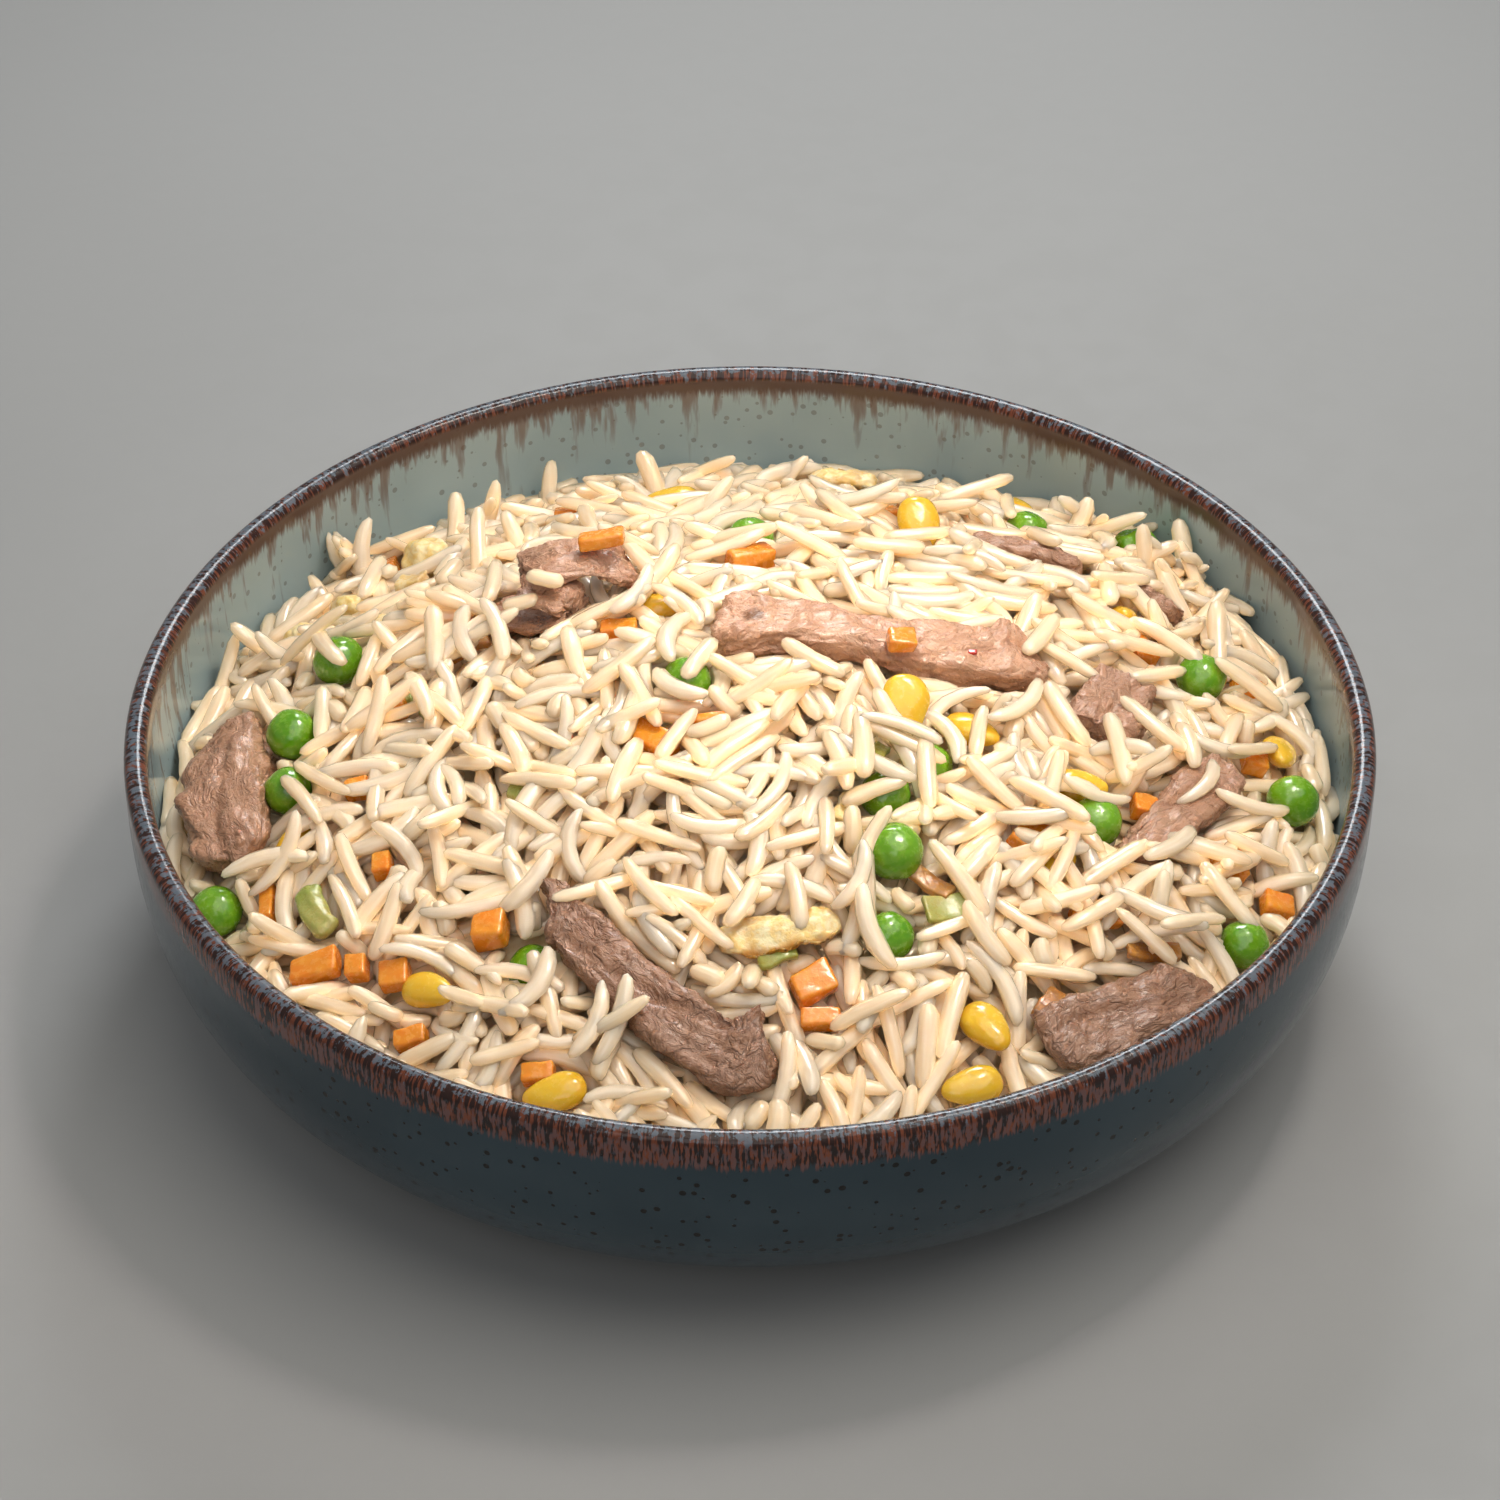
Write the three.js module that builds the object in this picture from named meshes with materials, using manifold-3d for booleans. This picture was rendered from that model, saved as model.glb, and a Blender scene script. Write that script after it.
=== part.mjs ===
// A glazed bowl heaped with long-grain rice, strips of beef, peas, sweetcorn, diced carrot,
// scraps of fried egg and a slice of leek. Millimetres, +Z up, origin under the middle of the base,
// with the side that faces the diner towards -Y.
import * as THREE from "three";
import { mergeVertices } from "three/addons/utils/BufferGeometryUtils.js";
import { ParametricGeometry } from "three/addons/geometries/ParametricGeometry.js";
import Module from "manifold-3d";

// The bowl
const rimRadius = 100;
const bowlHeight = 48;
const lipRadius = 1.9;
const floorThickness = 4.5;
const cornerRadius = 38; // where the outside of the bowl would meet the table
const footOuter = 57;
const footInner = 51;
const footDepth = 1.2;
const wallBend = { height: 3.3, radius: 2.35 }; // exponents of the wall's curve
const heelHeight = 2.2; // where the wall's curve starts, above the foot
const floorStep = 0.4; // how much higher the wall's curve starts than the middle of the floor
const wallSteps = 5;
const lipSteps = 4;
const bowlSides = 48;

// The heap of rice
const heapTop = 55.5;
const heapEdge = 29.5; // height at which the rice meets the wall, on the average
const heapLean = 3; // how much higher it meets the wall at the front than on the average
const edgeSwell = { azimuth: 36, rise: 4.5, spread: 24 }; // where it is piled higher, in degrees
const heapLumps = [
  { x: -24, y: 6, rise: 2.5, spread: 22 },
  { x: 16, y: -38, rise: 2, spread: 20 },
  { x: 52, y: 8, rise: -2, spread: 18 },
  { x: -58, y: -28, rise: -1.5, spread: 18 },
  { x: 0, y: 52, rise: -1.5, spread: 20 },
];
const coreRoughness = 0.9; // how far the core's bumps rise and fall
const domeSteps = 12;
const domeEvenness = 0.4; // 0 spaces the dome's rows evenly along its radius, 1 makes them crowd outwards
const grain = {
  length: 12.5, width: 2.7, thickness: 2.2, // of a cooked long grain
  sides: 5, rows: 3, // of its faceted form
  reach: 90, tries: 218, // how they are strewn
  lift: [0.7, 1.5], tilt: [-10, 10], bend: [-1.2, 1.2], share: [0.82, 1.15], // drawn between these
  uprightEvery: 9, uprightTilt: [22, 48], // those that stick up
};
const scrap = { height: 3, lift: 1 }; // the scraps of carrot fused to the rice
const gap = 0.35; // clearance kept between pieces that touch

// Strips of meat, egg and leek
const endCrowding = 0.11;
const endFullness = 2.2;
const sectionBluntness = 0.75;
const grooveWidth = 0.3; // as a share of the strip's half width

// A seeded draw, so that the heap is the same each time.
let seed = 20713;
function draw(low = 0, high = 1) {
  seed = (seed * 1664525 + 1013904223) % 4294967296;
  return low + ((high - low) * seed) / 4294967296;
}

// Radius at height z of a wall that leaves the table at one radius and stands upright at another.
function wallCurve(inner, outer, low, high, z) {
  const left = THREE.MathUtils.clamp(1 - (z - low) / (high - low), 0, 1);
  return inner + (outer - inner) * (1 - left ** wallBend.height) ** (1 / wallBend.radius);
}
const lipHeight = bowlHeight - lipRadius;
const outsideRadius = (z) => wallCurve(cornerRadius, rimRadius, 0, lipHeight, z);

// The heights at which a wall has its rows of points, close together near the floor.
function wallHeights(low) {
  const heights = [];
  for (let k = 0; k <= wallSteps; k++) {
    heights.push(low + (lipHeight - low) * (1 - Math.cos((k / wallSteps) * (Math.PI / 2))));
  }
  return heights;
}
const insideHeights = wallHeights(floorThickness + floorStep);
const insideRadii = insideHeights.map((z) =>
  wallCurve(cornerRadius - 2, rimRadius - 2 * lipRadius, floorThickness, lipHeight, z),
);

// Radius of the faceted inside of the bowl at height z.
function insideRadius(z) {
  const next = insideHeights.findIndex((height) => height >= z);
  if (next <= 0) return next === 0 ? insideRadii[0] : insideRadii[wallSteps];
  const [low, high] = [insideHeights[next - 1], insideHeights[next]];
  return THREE.MathUtils.mapLinear(z, low, high, insideRadii[next - 1], insideRadii[next]);
}

// Height at which the rice meets the wall in the direction of an azimuth in radians.
function edgeHeight(azimuth) {
  const away = THREE.MathUtils.radToDeg(azimuth) - edgeSwell.azimuth;
  const swell = edgeSwell.rise * Math.exp(-((away / edgeSwell.spread) ** 2));
  return heapEdge - heapLean * Math.sin(azimuth) + swell;
}

// Height of the rice's bare core over a point of the table.
function heapHeight(x, y) {
  const edge = edgeHeight(Math.atan2(y, x));
  const share = Math.min(1, Math.hypot(x, y) / insideRadius(edge)) ** 2;
  let top = heapTop;
  for (const lump of heapLumps) {
    const away = (x - lump.x) ** 2 + (y - lump.y) ** 2;
    top += lump.rise * Math.exp(-away / (2 * lump.spread ** 2));
  }
  return edge + (top - edge) * (1 - share);
}

function heapNormal(x, y) {
  const step = 2;
  const slopeX = (heapHeight(x + step, y) - heapHeight(x - step, y)) / (2 * step);
  const slopeY = (heapHeight(x, y + step) - heapHeight(x, y - step)) / (2 * step);
  return new THREE.Vector3(-slopeX, -slopeY, 1).normalize();
}

// The place on the heap at (x, y), turned to its slope and then by a heading in degrees.
function seat(x, y, lift, heading = 0, tilt = 0) {
  const upright = new THREE.Vector3(0, 0, 1);
  const lean = new THREE.Quaternion().setFromUnitVectors(upright, heapNormal(x, y));
  const turn = new THREE.Quaternion().setFromAxisAngle(upright, THREE.MathUtils.degToRad(heading));
  const rear = new THREE.Vector3(0, 1, 0);
  const pitch = new THREE.Quaternion().setFromAxisAngle(rear, THREE.MathUtils.degToRad(tilt));
  return new THREE.Matrix4().compose(
    new THREE.Vector3(x, y, heapHeight(x, y) + lift),
    lean.multiply(turn).multiply(pitch),
    new THREE.Vector3(1, 1, 1),
  );
}

// Geometry with only merged positions, and faces turned outwards.
function closed(geometry) {
  const bare = new THREE.BufferGeometry();
  bare.setAttribute("position", geometry.getAttribute("position"));
  bare.setIndex(geometry.index);
  const merged = mergeVertices(bare, 1e-3);
  const whole = [];
  const index = merged.index.array;
  for (let i = 0; i < index.length; i += 3) {
    const [a, b, c] = [index[i], index[i + 1], index[i + 2]];
    if (a !== b && b !== c && c !== a) whole.push(a, b, c);
  }
  merged.setIndex(whole);
  if (volumeOf(merged) < 0) merged.setIndex(whole.reverse());
  return merged;
}

function volumeOf(geometry) {
  const at = geometry.getAttribute("position");
  const index = geometry.index.array;
  const corners = [new THREE.Vector3(), new THREE.Vector3(), new THREE.Vector3()];
  let volume = 0;
  for (let i = 0; i < index.length; i += 3) {
    corners.forEach((corner, k) => corner.fromBufferAttribute(at, index[i + k]));
    volume += corners[0].dot(corners[1].cross(corners[2])) / 6;
  }
  return volume;
}

// A grid of points that closes round and at both ends.
function closedSurface(pointAt, around, along) {
  return closed(new ParametricGeometry((u, v, out) => out.copy(pointAt(u, v)), around, along));
}

// The bowl; its inside can be drawn in by some clearance.
function bowlGeometry(clearance = 0) {
  const profile = [];
  const add = (radius, z) => profile.push(new THREE.Vector2(radius, z));
  add(0, footDepth);
  add(footInner, footDepth);
  add(footInner + footDepth, 0);
  add(footOuter, 0);
  for (const z of wallHeights(heelHeight)) add(outsideRadius(z), z);
  for (let k = 1; k < lipSteps; k++) {
    const turn = (k / lipSteps) * Math.PI;
    add(rimRadius - lipRadius + lipRadius * Math.cos(turn), lipHeight + lipRadius * Math.sin(turn));
  }
  for (let k = wallSteps; k >= 0; k--) add(insideRadii[k] - clearance, insideHeights[k] + clearance);
  add(0, floorThickness + clearance);
  return closed(new THREE.LatheGeometry(profile, bowlSides).rotateX(Math.PI / 2));
}

// The rice without its loose grains: the bowl's inside below, and a rough dome above.
function coreGeometry() {
  const around = bowlSides / 2;
  const steps = wallSteps + domeSteps;
  const bumps = new Map(); // one draw for each point of the dome
  return closedSurface(
    (u, v) => {
      const turn = Math.round(u * around) % around;
      const step = Math.round(v * steps);
      const azimuth = (turn / around) * 2 * Math.PI - Math.PI / 2;
      const edge = edgeHeight(azimuth);
      if (step <= wallSteps) {
        const z = Math.min(edge, insideHeights[Math.max(0, step - 1)] + gap);
        return polar(step === 0 ? 0 : insideRadius(z) - 2 * gap, azimuth, z);
      }
      const share = (steps - step) / domeSteps;
      const spacing = THREE.MathUtils.lerp(share, Math.sqrt(share), domeEvenness);
      const radius = (insideRadius(edge) - 2 * gap) * spacing;
      const key = step === steps ? "top" : `${turn} ${step}`;
      if (!bumps.has(key)) bumps.set(key, draw(-coreRoughness, coreRoughness));
      const place = polar(radius, azimuth, 0);
      place.z = heapHeight(place.x, place.y) + bumps.get(key);
      return place;
    },
    around,
    steps,
  );
}

function polar(radius, azimuth, z) {
  return new THREE.Vector3(radius * Math.cos(azimuth), radius * Math.sin(azimuth), z);
}

// Rows along a strip: where each lies, and which way its top faces. They crowd towards the ends, which
// makes those blunt, and the top isn't turned by more than the strip itself turns.
function stripRows(path, twist, along) {
  const spine = new THREE.CatmullRomCurve3(
    path.map(([x, y, lift]) => new THREE.Vector3(x, y, heapHeight(x, y) + lift)),
  );
  const rows = [];
  let up = heapNormal(path[0][0], path[0][1]);
  for (let step = 0; step <= along; step++) {
    const share = step / along;
    const place = share - endCrowding * Math.sin(2 * Math.PI * share);
    const tangent = spine.getTangentAt(place);
    up = up.clone().addScaledVector(tangent, -up.dot(tangent)).normalize();
    const roll = THREE.MathUtils.degToRad(twist) * (share - 0.5);
    const top = up.clone().applyAxisAngle(tangent, roll);
    const side = new THREE.Vector3().crossVectors(top, tangent);
    rows.push({ centre: spine.getPointAt(place), tangent, top, side });
  }
  return rows;
}

const bluntly = (wave) => Math.sign(wave) * Math.abs(wave) ** sectionBluntness;

// A strip that follows the heap through points [x, y, lift], with a blunt, uneven section.
// widths are its full widths along it, and crease is the depth of the groove on top.
function stripGeometry(strip, grow = 0) {
  const { path, widths, thickness, crease = 0, twist = 0, around = 9, along = 8 } = strip;
  const rows = stripRows(path, twist, along);
  return closedSurface(
    (u, v) => {
      const angle = ((Math.round(u * around) % around) / around) * 2 * Math.PI;
      const step = Math.round(v * along);
      const { centre, tangent, top, side } = rows[step];
      if (step === 0) return centre.clone().addScaledVector(tangent, -grow);
      if (step === along) return centre.clone().addScaledVector(tangent, grow);
      const k = Math.min(widths.length - 2, Math.floor(v * (widths.length - 1)));
      const width = THREE.MathUtils.lerp(widths[k], widths[k + 1], v * (widths.length - 1) - k);
      const end = Math.min(1, endFullness * Math.sin(Math.PI * v)) ** 0.5;
      const rough = 1 + 0.07 * Math.sin(5 * angle + 17 * v) + 0.05 * Math.sin(2 * angle - 31 * v);
      const across = bluntly(Math.cos(angle));
      const rise = bluntly(Math.sin(angle));
      const groove = rise > 0 ? crease * Math.exp(-((across / grooveWidth) ** 2)) : 0;
      const outward = (across * end * rough * width) / 2 + grow * Math.sign(across);
      const upward = end * ((rise * rough * thickness) / 2 - groove) + grow * Math.sign(rise);
      return centre.clone().addScaledVector(side, outward).addScaledVector(top, upward);
    },
    around,
    along,
  );
}

// A pea, a little flattened.
function peaGeometry({ diameter = 9, flatness = 0.94 }, grow = 0) {
  const shape = new THREE.IcosahedronGeometry(diameter / 2 + grow, 1);
  return closed(shape.scale(1, 1, flatness));
}

// A kernel: a rounded crown at +X that narrows to the blunt tip at -X.
function kernelGeometry({ length = 10, width = 8.2, thickness = 5.6, narrowing = 0.22 }, grow = 0) {
  const shape = new THREE.SphereGeometry(1, 8, 5).rotateZ(Math.PI / 2);
  const at = shape.getAttribute("position");
  for (let i = 0; i < at.count; i++) {
    const taper = 1 - narrowing * (1 - at.getX(i));
    at.setXYZ(
      i,
      at.getX(i) * (length / 2 + grow),
      at.getY(i) * taper * (width / 2 + grow),
      at.getZ(i) * taper * (thickness / 2 + grow),
    );
  }
  return closed(shape);
}

// A knife-cut block, a little out of square.
function diceGeometry({ size, skew = 0.12 }, grow = 0) {
  const [length, width, height] = size.map((side) => side + 2 * grow);
  const shape = new THREE.BoxGeometry(length, width, height);
  const at = shape.getAttribute("position");
  for (let i = 0; i < at.count; i++) {
    at.setX(i, at.getX(i) + skew * at.getY(i));
    at.setY(i, at.getY(i) * (1 + skew * Math.sign(at.getX(i)) * Math.sign(at.getZ(i))));
  }
  return closed(shape);
}

// A curd of fried egg: a ball pulled about into lumps.
function curdGeometry({ size, lumps = 0.22 }, grow = 0) {
  const shape = new THREE.IcosahedronGeometry(1, 1);
  const at = shape.getAttribute("position");
  const point = new THREE.Vector3();
  for (let i = 0; i < at.count; i++) {
    point.fromBufferAttribute(at, i);
    const swell = 1 + lumps * Math.sin(4.1 * point.x + 2.3 * point.y) * Math.cos(3.7 * point.z - point.y);
    const radii = size.map((side) => (side / 2) * swell + grow);
    at.setXYZ(i, point.x * radii[0], point.y * radii[1], point.z * radii[2]);
  }
  return closed(shape);
}

// A grain of rice along X, pointed at both ends and bent by some amount.
function grainGeometry(length, bend) {
  const shape = new THREE.SphereGeometry(1, grain.sides, grain.rows).rotateZ(Math.PI / 2);
  const at = shape.getAttribute("position");
  for (let i = 0; i < at.count; i++) {
    const along = at.getX(i);
    at.setXYZ(
      i,
      (along * length) / 2,
      (at.getY(i) * grain.width) / 2 + bend * along * along,
      (at.getZ(i) * grain.thickness) / 2,
    );
  }
  return closed(shape);
}

// Toppings. x and y are places on the table plan, lift is above the bare core, heading is in degrees.
const beef = [
  {
    path: [[-8, 8.5, 3], [0, 8.5, 3.6], [10, 8, 3.8], [20.5, 6.5, 3.8], [30, 5.5, 3.6], [39, 6.5, 3.4],
      [48, 13, 3]],
    widths: [17, 14, 11, 12, 13, 15, 11], thickness: 6.5, crease: 1.4, around: 11, along: 12,
  },
  {
    path: [[-46.5, 26.5, 1], [-38, 21, 1.4], [-30, 16, 2], [-27, 14.6, 4], [-30, 16.4, 6],
      [-34.5, 19.4, 6.4], [-37, 21, 8.2], [-33.5, 21.8, 10], [-25, 23.5, 8.6], [-16, 26.5, 3]],
    widths: [8, 11, 12, 12, 11, 11, 12, 12, 10, 6], thickness: 2.8, around: 7, along: 26,
  },
  {
    path: [[-36, -44, 3], [-29, -53, 3.2], [-22.5, -60, 3], [-16, -67.5, 3], [-9, -74, 3], [-1, -78, 3],
      [8, -75.5, 3.6]],
    widths: [6.5, 8.5, 8, 8.5, 10.5, 11.5, 8], thickness: 5.6, crease: 0.7, twist: 40, along: 14,
  },
  {
    path: [[-84.5, 11, 2.6], [-85, -3, 3.8], [-84, -13, 4], [-81.5, -21, 3.6], [-79.5, -27.5, 2.6]],
    widths: [5, 11, 14.5, 12, 7], thickness: 8.5,
  },
  {
    path: [[61, 11, 1.8], [57.5, 0, 2.6], [53, -9, 2.2]],
    widths: [10, 12, 10], thickness: 6.5, along: 7,
  },
  {
    path: [[76.5, -4.5, 1.8], [71, -14.5, 2.2], [64.5, -24.5, 1.4], [57.5, -34, 0.4]],
    widths: [8, 9, 8, 5], thickness: 5.5, around: 8,
  },
  {
    path: [[43, -72.5, 2.8], [52.5, -66.5, 3.2], [61.5, -60, 3], [71, -52.5, 2]],
    widths: [11, 12, 11, 6], thickness: 6.6,
  },
  {
    path: [[36, 47.5, 1.4], [46.5, 46.5, 2], [56, 43.5, 1.8]],
    widths: [5, 6.5, 6], thickness: 4.5, around: 7, along: 6,
  },
  { path: [[66.5, 41.5, 0.8], [70.5, 35, 0.8]], widths: [7, 7.5, 6], thickness: 6, around: 7, along: 5 },
];
const peas = [
  { x: -67.5, y: 20, lift: 2.4, diameter: 9.2 },
  { x: -74, y: 2.5, lift: 2, diameter: 9 },
  { x: -73.5, y: -11.5, lift: 1.6, diameter: 8.4 },
  { x: -83.5, y: -34, lift: 2 },
  { x: 22, y: -42, lift: 2.8, diameter: 9.6 },
  { x: 87, y: -8.5, lift: 2.8, diameter: 9.2 },
  { x: 74, y: 17.5, lift: 2.2, diameter: 8.8 },
  { x: 66.5, y: 60.5, lift: 1.4, diameter: 9.2 },
  { x: -10, y: -4, lift: 0.2, diameter: 8.6 },
  { x: 0, y: 47, lift: 0.6, diameter: 8.6 },
  { x: 54, y: -25.5, lift: 0.4, diameter: 9 },
  { x: 76.5, y: -43, lift: 1.6, diameter: 8.4 },
  { x: -33, y: -55, lift: -3.4, diameter: 8.2 },
  { x: 28, y: -19, lift: -1, diameter: 8 },
  { x: 21, y: -55, lift: 0.6, diameter: 8.2 },
  { x: 47.5, y: 62, lift: 0.6, diameter: 8.2 },
  { x: 21, y: -27.5, lift: -0.6, diameter: 8.6 },
];
const corn = [
  { x: 28.5, y: 51, lift: 3, heading: 100, tilt: -50, length: 11, width: 9.2 },
  { x: 24.5, y: -10.5, lift: 3.4, heading: 95, tilt: -35, length: 11, width: 9.6 },
  { x: 35, y: -10.5, lift: 0.8, heading: 150, tilt: 12 },
  { x: 52, y: -18.5, lift: 0.8, heading: 185, tilt: 8, length: 9 },
  { x: 35.5, y: -69, lift: 2, heading: 120, tilt: 20, length: 10.5, width: 9 },
  { x: 33, y: -78.5, lift: 2, heading: 20, tilt: 0 },
  { x: -48.5, y: -60, lift: 1.6, heading: 150, tilt: 15 },
  { x: -72, y: -23, lift: 0.4, heading: 60, tilt: 10, width: 6.6 },
  { x: 86, y: 4, lift: 2, heading: 80, tilt: 20 },
  { x: 62, y: 31.5, lift: 0.4, heading: 80, tilt: 40, length: 8.6, width: 6.8 },
  { x: 45, y: 74, lift: 2, heading: 10, tilt: 10 },
  { x: -13.5, y: 69.5, lift: 1.4, heading: 5, tilt: 0 },
  { x: -15, y: 17.5, lift: 0.2, heading: 170, tilt: 10, length: 9 },
  { x: 47.5, y: -36.5, lift: 1, heading: 60, tilt: 20, width: 6.4 },
  { x: -29, y: -79.5, lift: 1.4, heading: 10, tilt: 0 },
];
const carrots = [
  { x: -24, y: 23, lift: 12.1, heading: 5, size: [7.4, 3.6, 2.4] },
  { x: 0, y: 33.5, lift: 2.2, heading: 30, size: [8, 4.6, 4] },
  { x: 22.5, y: 58.5, lift: 1.8, heading: 25, size: [6.4, 4, 3] },
  { x: -15.5, y: -17.5, lift: 0.8, heading: -40, size: [8.6, 4.4, 3.4] },
  { x: 24, y: 0.5, lift: 8.4, heading: 10, size: [4.6, 4.4, 2.4] },
  { x: -39.5, y: -51, lift: 1.4, heading: 0, size: [5, 4.6, 4.8] },
  { x: 43.5, y: -32, lift: 1.8, heading: 55, size: [9, 3.6, 2.8] },
  { x: 64, y: 22, lift: 0.6, heading: -70, size: [6, 4, 3.6] },
  { x: 53, y: -46, lift: 1.6, heading: 8, size: [8.6, 2.8, 2.4] },
  { x: -66.5, y: -51, lift: 1.6, heading: 6, size: [7.6, 4.4, 3.4] },
  { x: 9.5, y: -63.5, lift: 0.6, heading: 30, size: [6.6, 5, 3.4] },
];
const egg = [
  { x: -55, y: 55, lift: 2.4, heading: 20, size: [8.4, 7.2, 7] },
  { x: -67.5, y: 42, lift: 1.8, heading: -30, size: [7.6, 5.8, 5] },
  { x: -74.5, y: 34.5, lift: 2, heading: 10, size: [7.4, 6, 5] },
];
const omelette = [
  {
    path: [[10, 80.5, 3], [16.5, 81, 3.4], [22.5, 80.5, 3]],
    widths: [5.5, 7.5, 5.5], thickness: 3.4, around: 7, along: 6,
  },
  {
    path: [[-5, -56, 1], [1, -57, 2.2], [7, -56.5, 2.4], [13.5, -53, 1.4]],
    widths: [6, 7, 6.5, 4.5], thickness: 3.4, twist: 30, around: 7,
  },
];
const leek = [
  {
    path: [[-69, -35, 2.2], [-67, -41.5, 2.4], [-64.5, -45.5, 1.8]],
    widths: [4.6, 4.6, 5], thickness: 2.6, around: 7, along: 6,
  },
];
// Small scraps of carrot that only peep out of the rice and are fused to it: x, y, length and width.
const scraps = [
  [-6.5, -14.5, 5.4, 1.8], [10.5, -69.5, 6, 3], [-48.5, 18, 6, 5], [-21, 9.5, 6, 3.6], [-57, 1.5, 4, 3],
  [-62, 57, 3.4, 5], [-31.5, 65.5, 4, 3.4], [-57, -33.5, 3, 4], [62, -20, 4, 4], [75, -27, 6.4, 5],
  [-54, -55.5, 4.6, 4.6], [-75, -35, 2.4, 7], [81.5, 0, 4, 4], [82.5, -32.5, 5, 4], [-31.5, -76, 5, 3],
  [-60, -52.5, 3.4, 4], [15, 51, 3, 3], [82, 20.5, 5, 3.4], [-51, -67, 5, 3], [-62, -15.5, 4, 3],
];

const finish = (color, roughness) => new THREE.MeshStandardMaterial({ color, roughness, metalness: 0 });
const glaze = finish(0x6f8085, 0.3);
const rice = finish(0xeee6cf, 0.45);
const meat = finish(0xa07c6c, 0.5);
const green = finish(0x43a012, 0.3);
const yellow = finish(0xf0bd1c, 0.3);
const orange = finish(0xe67a1c, 0.4);
const paleYellow = finish(0xf2da78, 0.5);
const paleGreen = finish(0xb9cc6a, 0.45);

const wasm = await Module();
wasm.setup();

function solidOf(geometry) {
  return new wasm.Manifold(
    new wasm.Mesh({
      numProp: 3,
      vertProperties: new Float32Array(geometry.getAttribute("position").array),
      triVerts: new Uint32Array(geometry.index.array),
    }),
  );
}

function geometryOf(solid) {
  const { vertProperties, triVerts } = solid.getMesh();
  const geometry = new THREE.BufferGeometry();
  geometry.setAttribute("position", new THREE.BufferAttribute(vertProperties, 3));
  return geometry.setIndex(new THREE.BufferAttribute(triVerts, 1));
}

const plate = new THREE.Group();
const taken = []; // each topping, a little enlarged: the room that the rice leaves it

function addMesh(name, geometry, material, place) {
  const mesh = new THREE.Mesh(geometry, material);
  mesh.name = name;
  if (place) mesh.applyMatrix4(place);
  plate.add(mesh);
}

// Each piece of a kind, in its own mesh, and the room that it takes.
function addToppings(kind, items, shape, material) {
  items.forEach((item, k) => {
    const place = item.path ? null : seat(item.x, item.y, item.lift, item.heading, item.tilt);
    addMesh(`${kind}_${k + 1}`, shape(item), material, place);
    const room = shape(item, gap);
    taken.push(solidOf(place ? room.applyMatrix4(place) : room));
  });
}

addMesh("bowl", bowlGeometry(), glaze);
addToppings("beef", beef, stripGeometry, meat);
addToppings("pea", peas, peaGeometry, green);
addToppings("corn", corn, kernelGeometry, yellow);
addToppings("carrot", carrots, diceGeometry, orange);
addToppings("egg", egg, curdGeometry, paleYellow);
addToppings("omelette", omelette, stripGeometry, paleYellow);
addToppings("leek", leek, stripGeometry, paleGreen);

// The heap: its core with room cut for the toppings, and the scraps and grains that clear them.
const room = wasm.Manifold.union(taken);
const obstacles = room.add(solidOf(bowlGeometry(gap)));
const loose = [];

function addLoose(geometry, place) {
  const solid = solidOf(geometry.applyMatrix4(place));
  if (solid.intersect(obstacles).isEmpty()) loose.push(solid);
}

for (const [x, y, length, width] of scraps) {
  addLoose(diceGeometry({ size: [length, width, scrap.height] }), seat(x, y, scrap.lift, draw(0, 180)));
}
const goldenTurn = Math.PI * (3 - Math.sqrt(5));
for (let k = 0; k < grain.tries; k++) {
  const centre = polar(grain.reach * Math.sqrt((k + 0.5) / grain.tries), k * goldenTurn, 0);
  const length = grain.length * draw(...grain.share);
  const upright = k % grain.uprightEvery === 0;
  const tilt = draw(...(upright ? grain.uprightTilt : grain.tilt));
  const sunk = (length / 2) * Math.sin(THREE.MathUtils.degToRad(tilt)) - 1;
  const lift = upright ? sunk : draw(...grain.lift);
  addLoose(grainGeometry(length, draw(...grain.bend)), seat(centre.x, centre.y, lift, draw(0, 360), -tilt));
}

const heap = wasm.Manifold.union([solidOf(coreGeometry()).subtract(room), ...loose]);
const pieces = heap.decompose().sort((a, b) => b.volume() - a.volume());
addMesh("rice_heap", geometryOf(pieces[0]), rice);

export default plate;
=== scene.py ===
import heapq
import math
import time

import bmesh
import bpy
import numpy as np
from mathutils import Matrix, Vector, noise


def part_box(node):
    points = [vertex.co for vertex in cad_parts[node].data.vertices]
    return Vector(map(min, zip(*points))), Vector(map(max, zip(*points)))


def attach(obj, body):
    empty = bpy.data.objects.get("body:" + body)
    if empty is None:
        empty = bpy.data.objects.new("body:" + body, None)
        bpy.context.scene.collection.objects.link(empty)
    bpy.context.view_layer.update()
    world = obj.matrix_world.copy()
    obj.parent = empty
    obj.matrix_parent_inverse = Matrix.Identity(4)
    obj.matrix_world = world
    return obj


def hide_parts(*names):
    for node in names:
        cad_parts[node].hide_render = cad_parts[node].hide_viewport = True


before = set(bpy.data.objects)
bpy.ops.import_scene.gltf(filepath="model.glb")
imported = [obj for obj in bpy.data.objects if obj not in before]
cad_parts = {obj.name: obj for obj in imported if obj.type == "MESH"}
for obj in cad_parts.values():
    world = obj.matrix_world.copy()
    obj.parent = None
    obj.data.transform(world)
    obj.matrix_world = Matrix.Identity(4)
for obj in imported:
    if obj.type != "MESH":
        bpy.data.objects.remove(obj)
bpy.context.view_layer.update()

mm = 0.001
smoothLevels = 3
started = time.time()


def report(stage):
    print(f"pilaf: {stage}, {time.time() - started:.1f} s")


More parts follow.
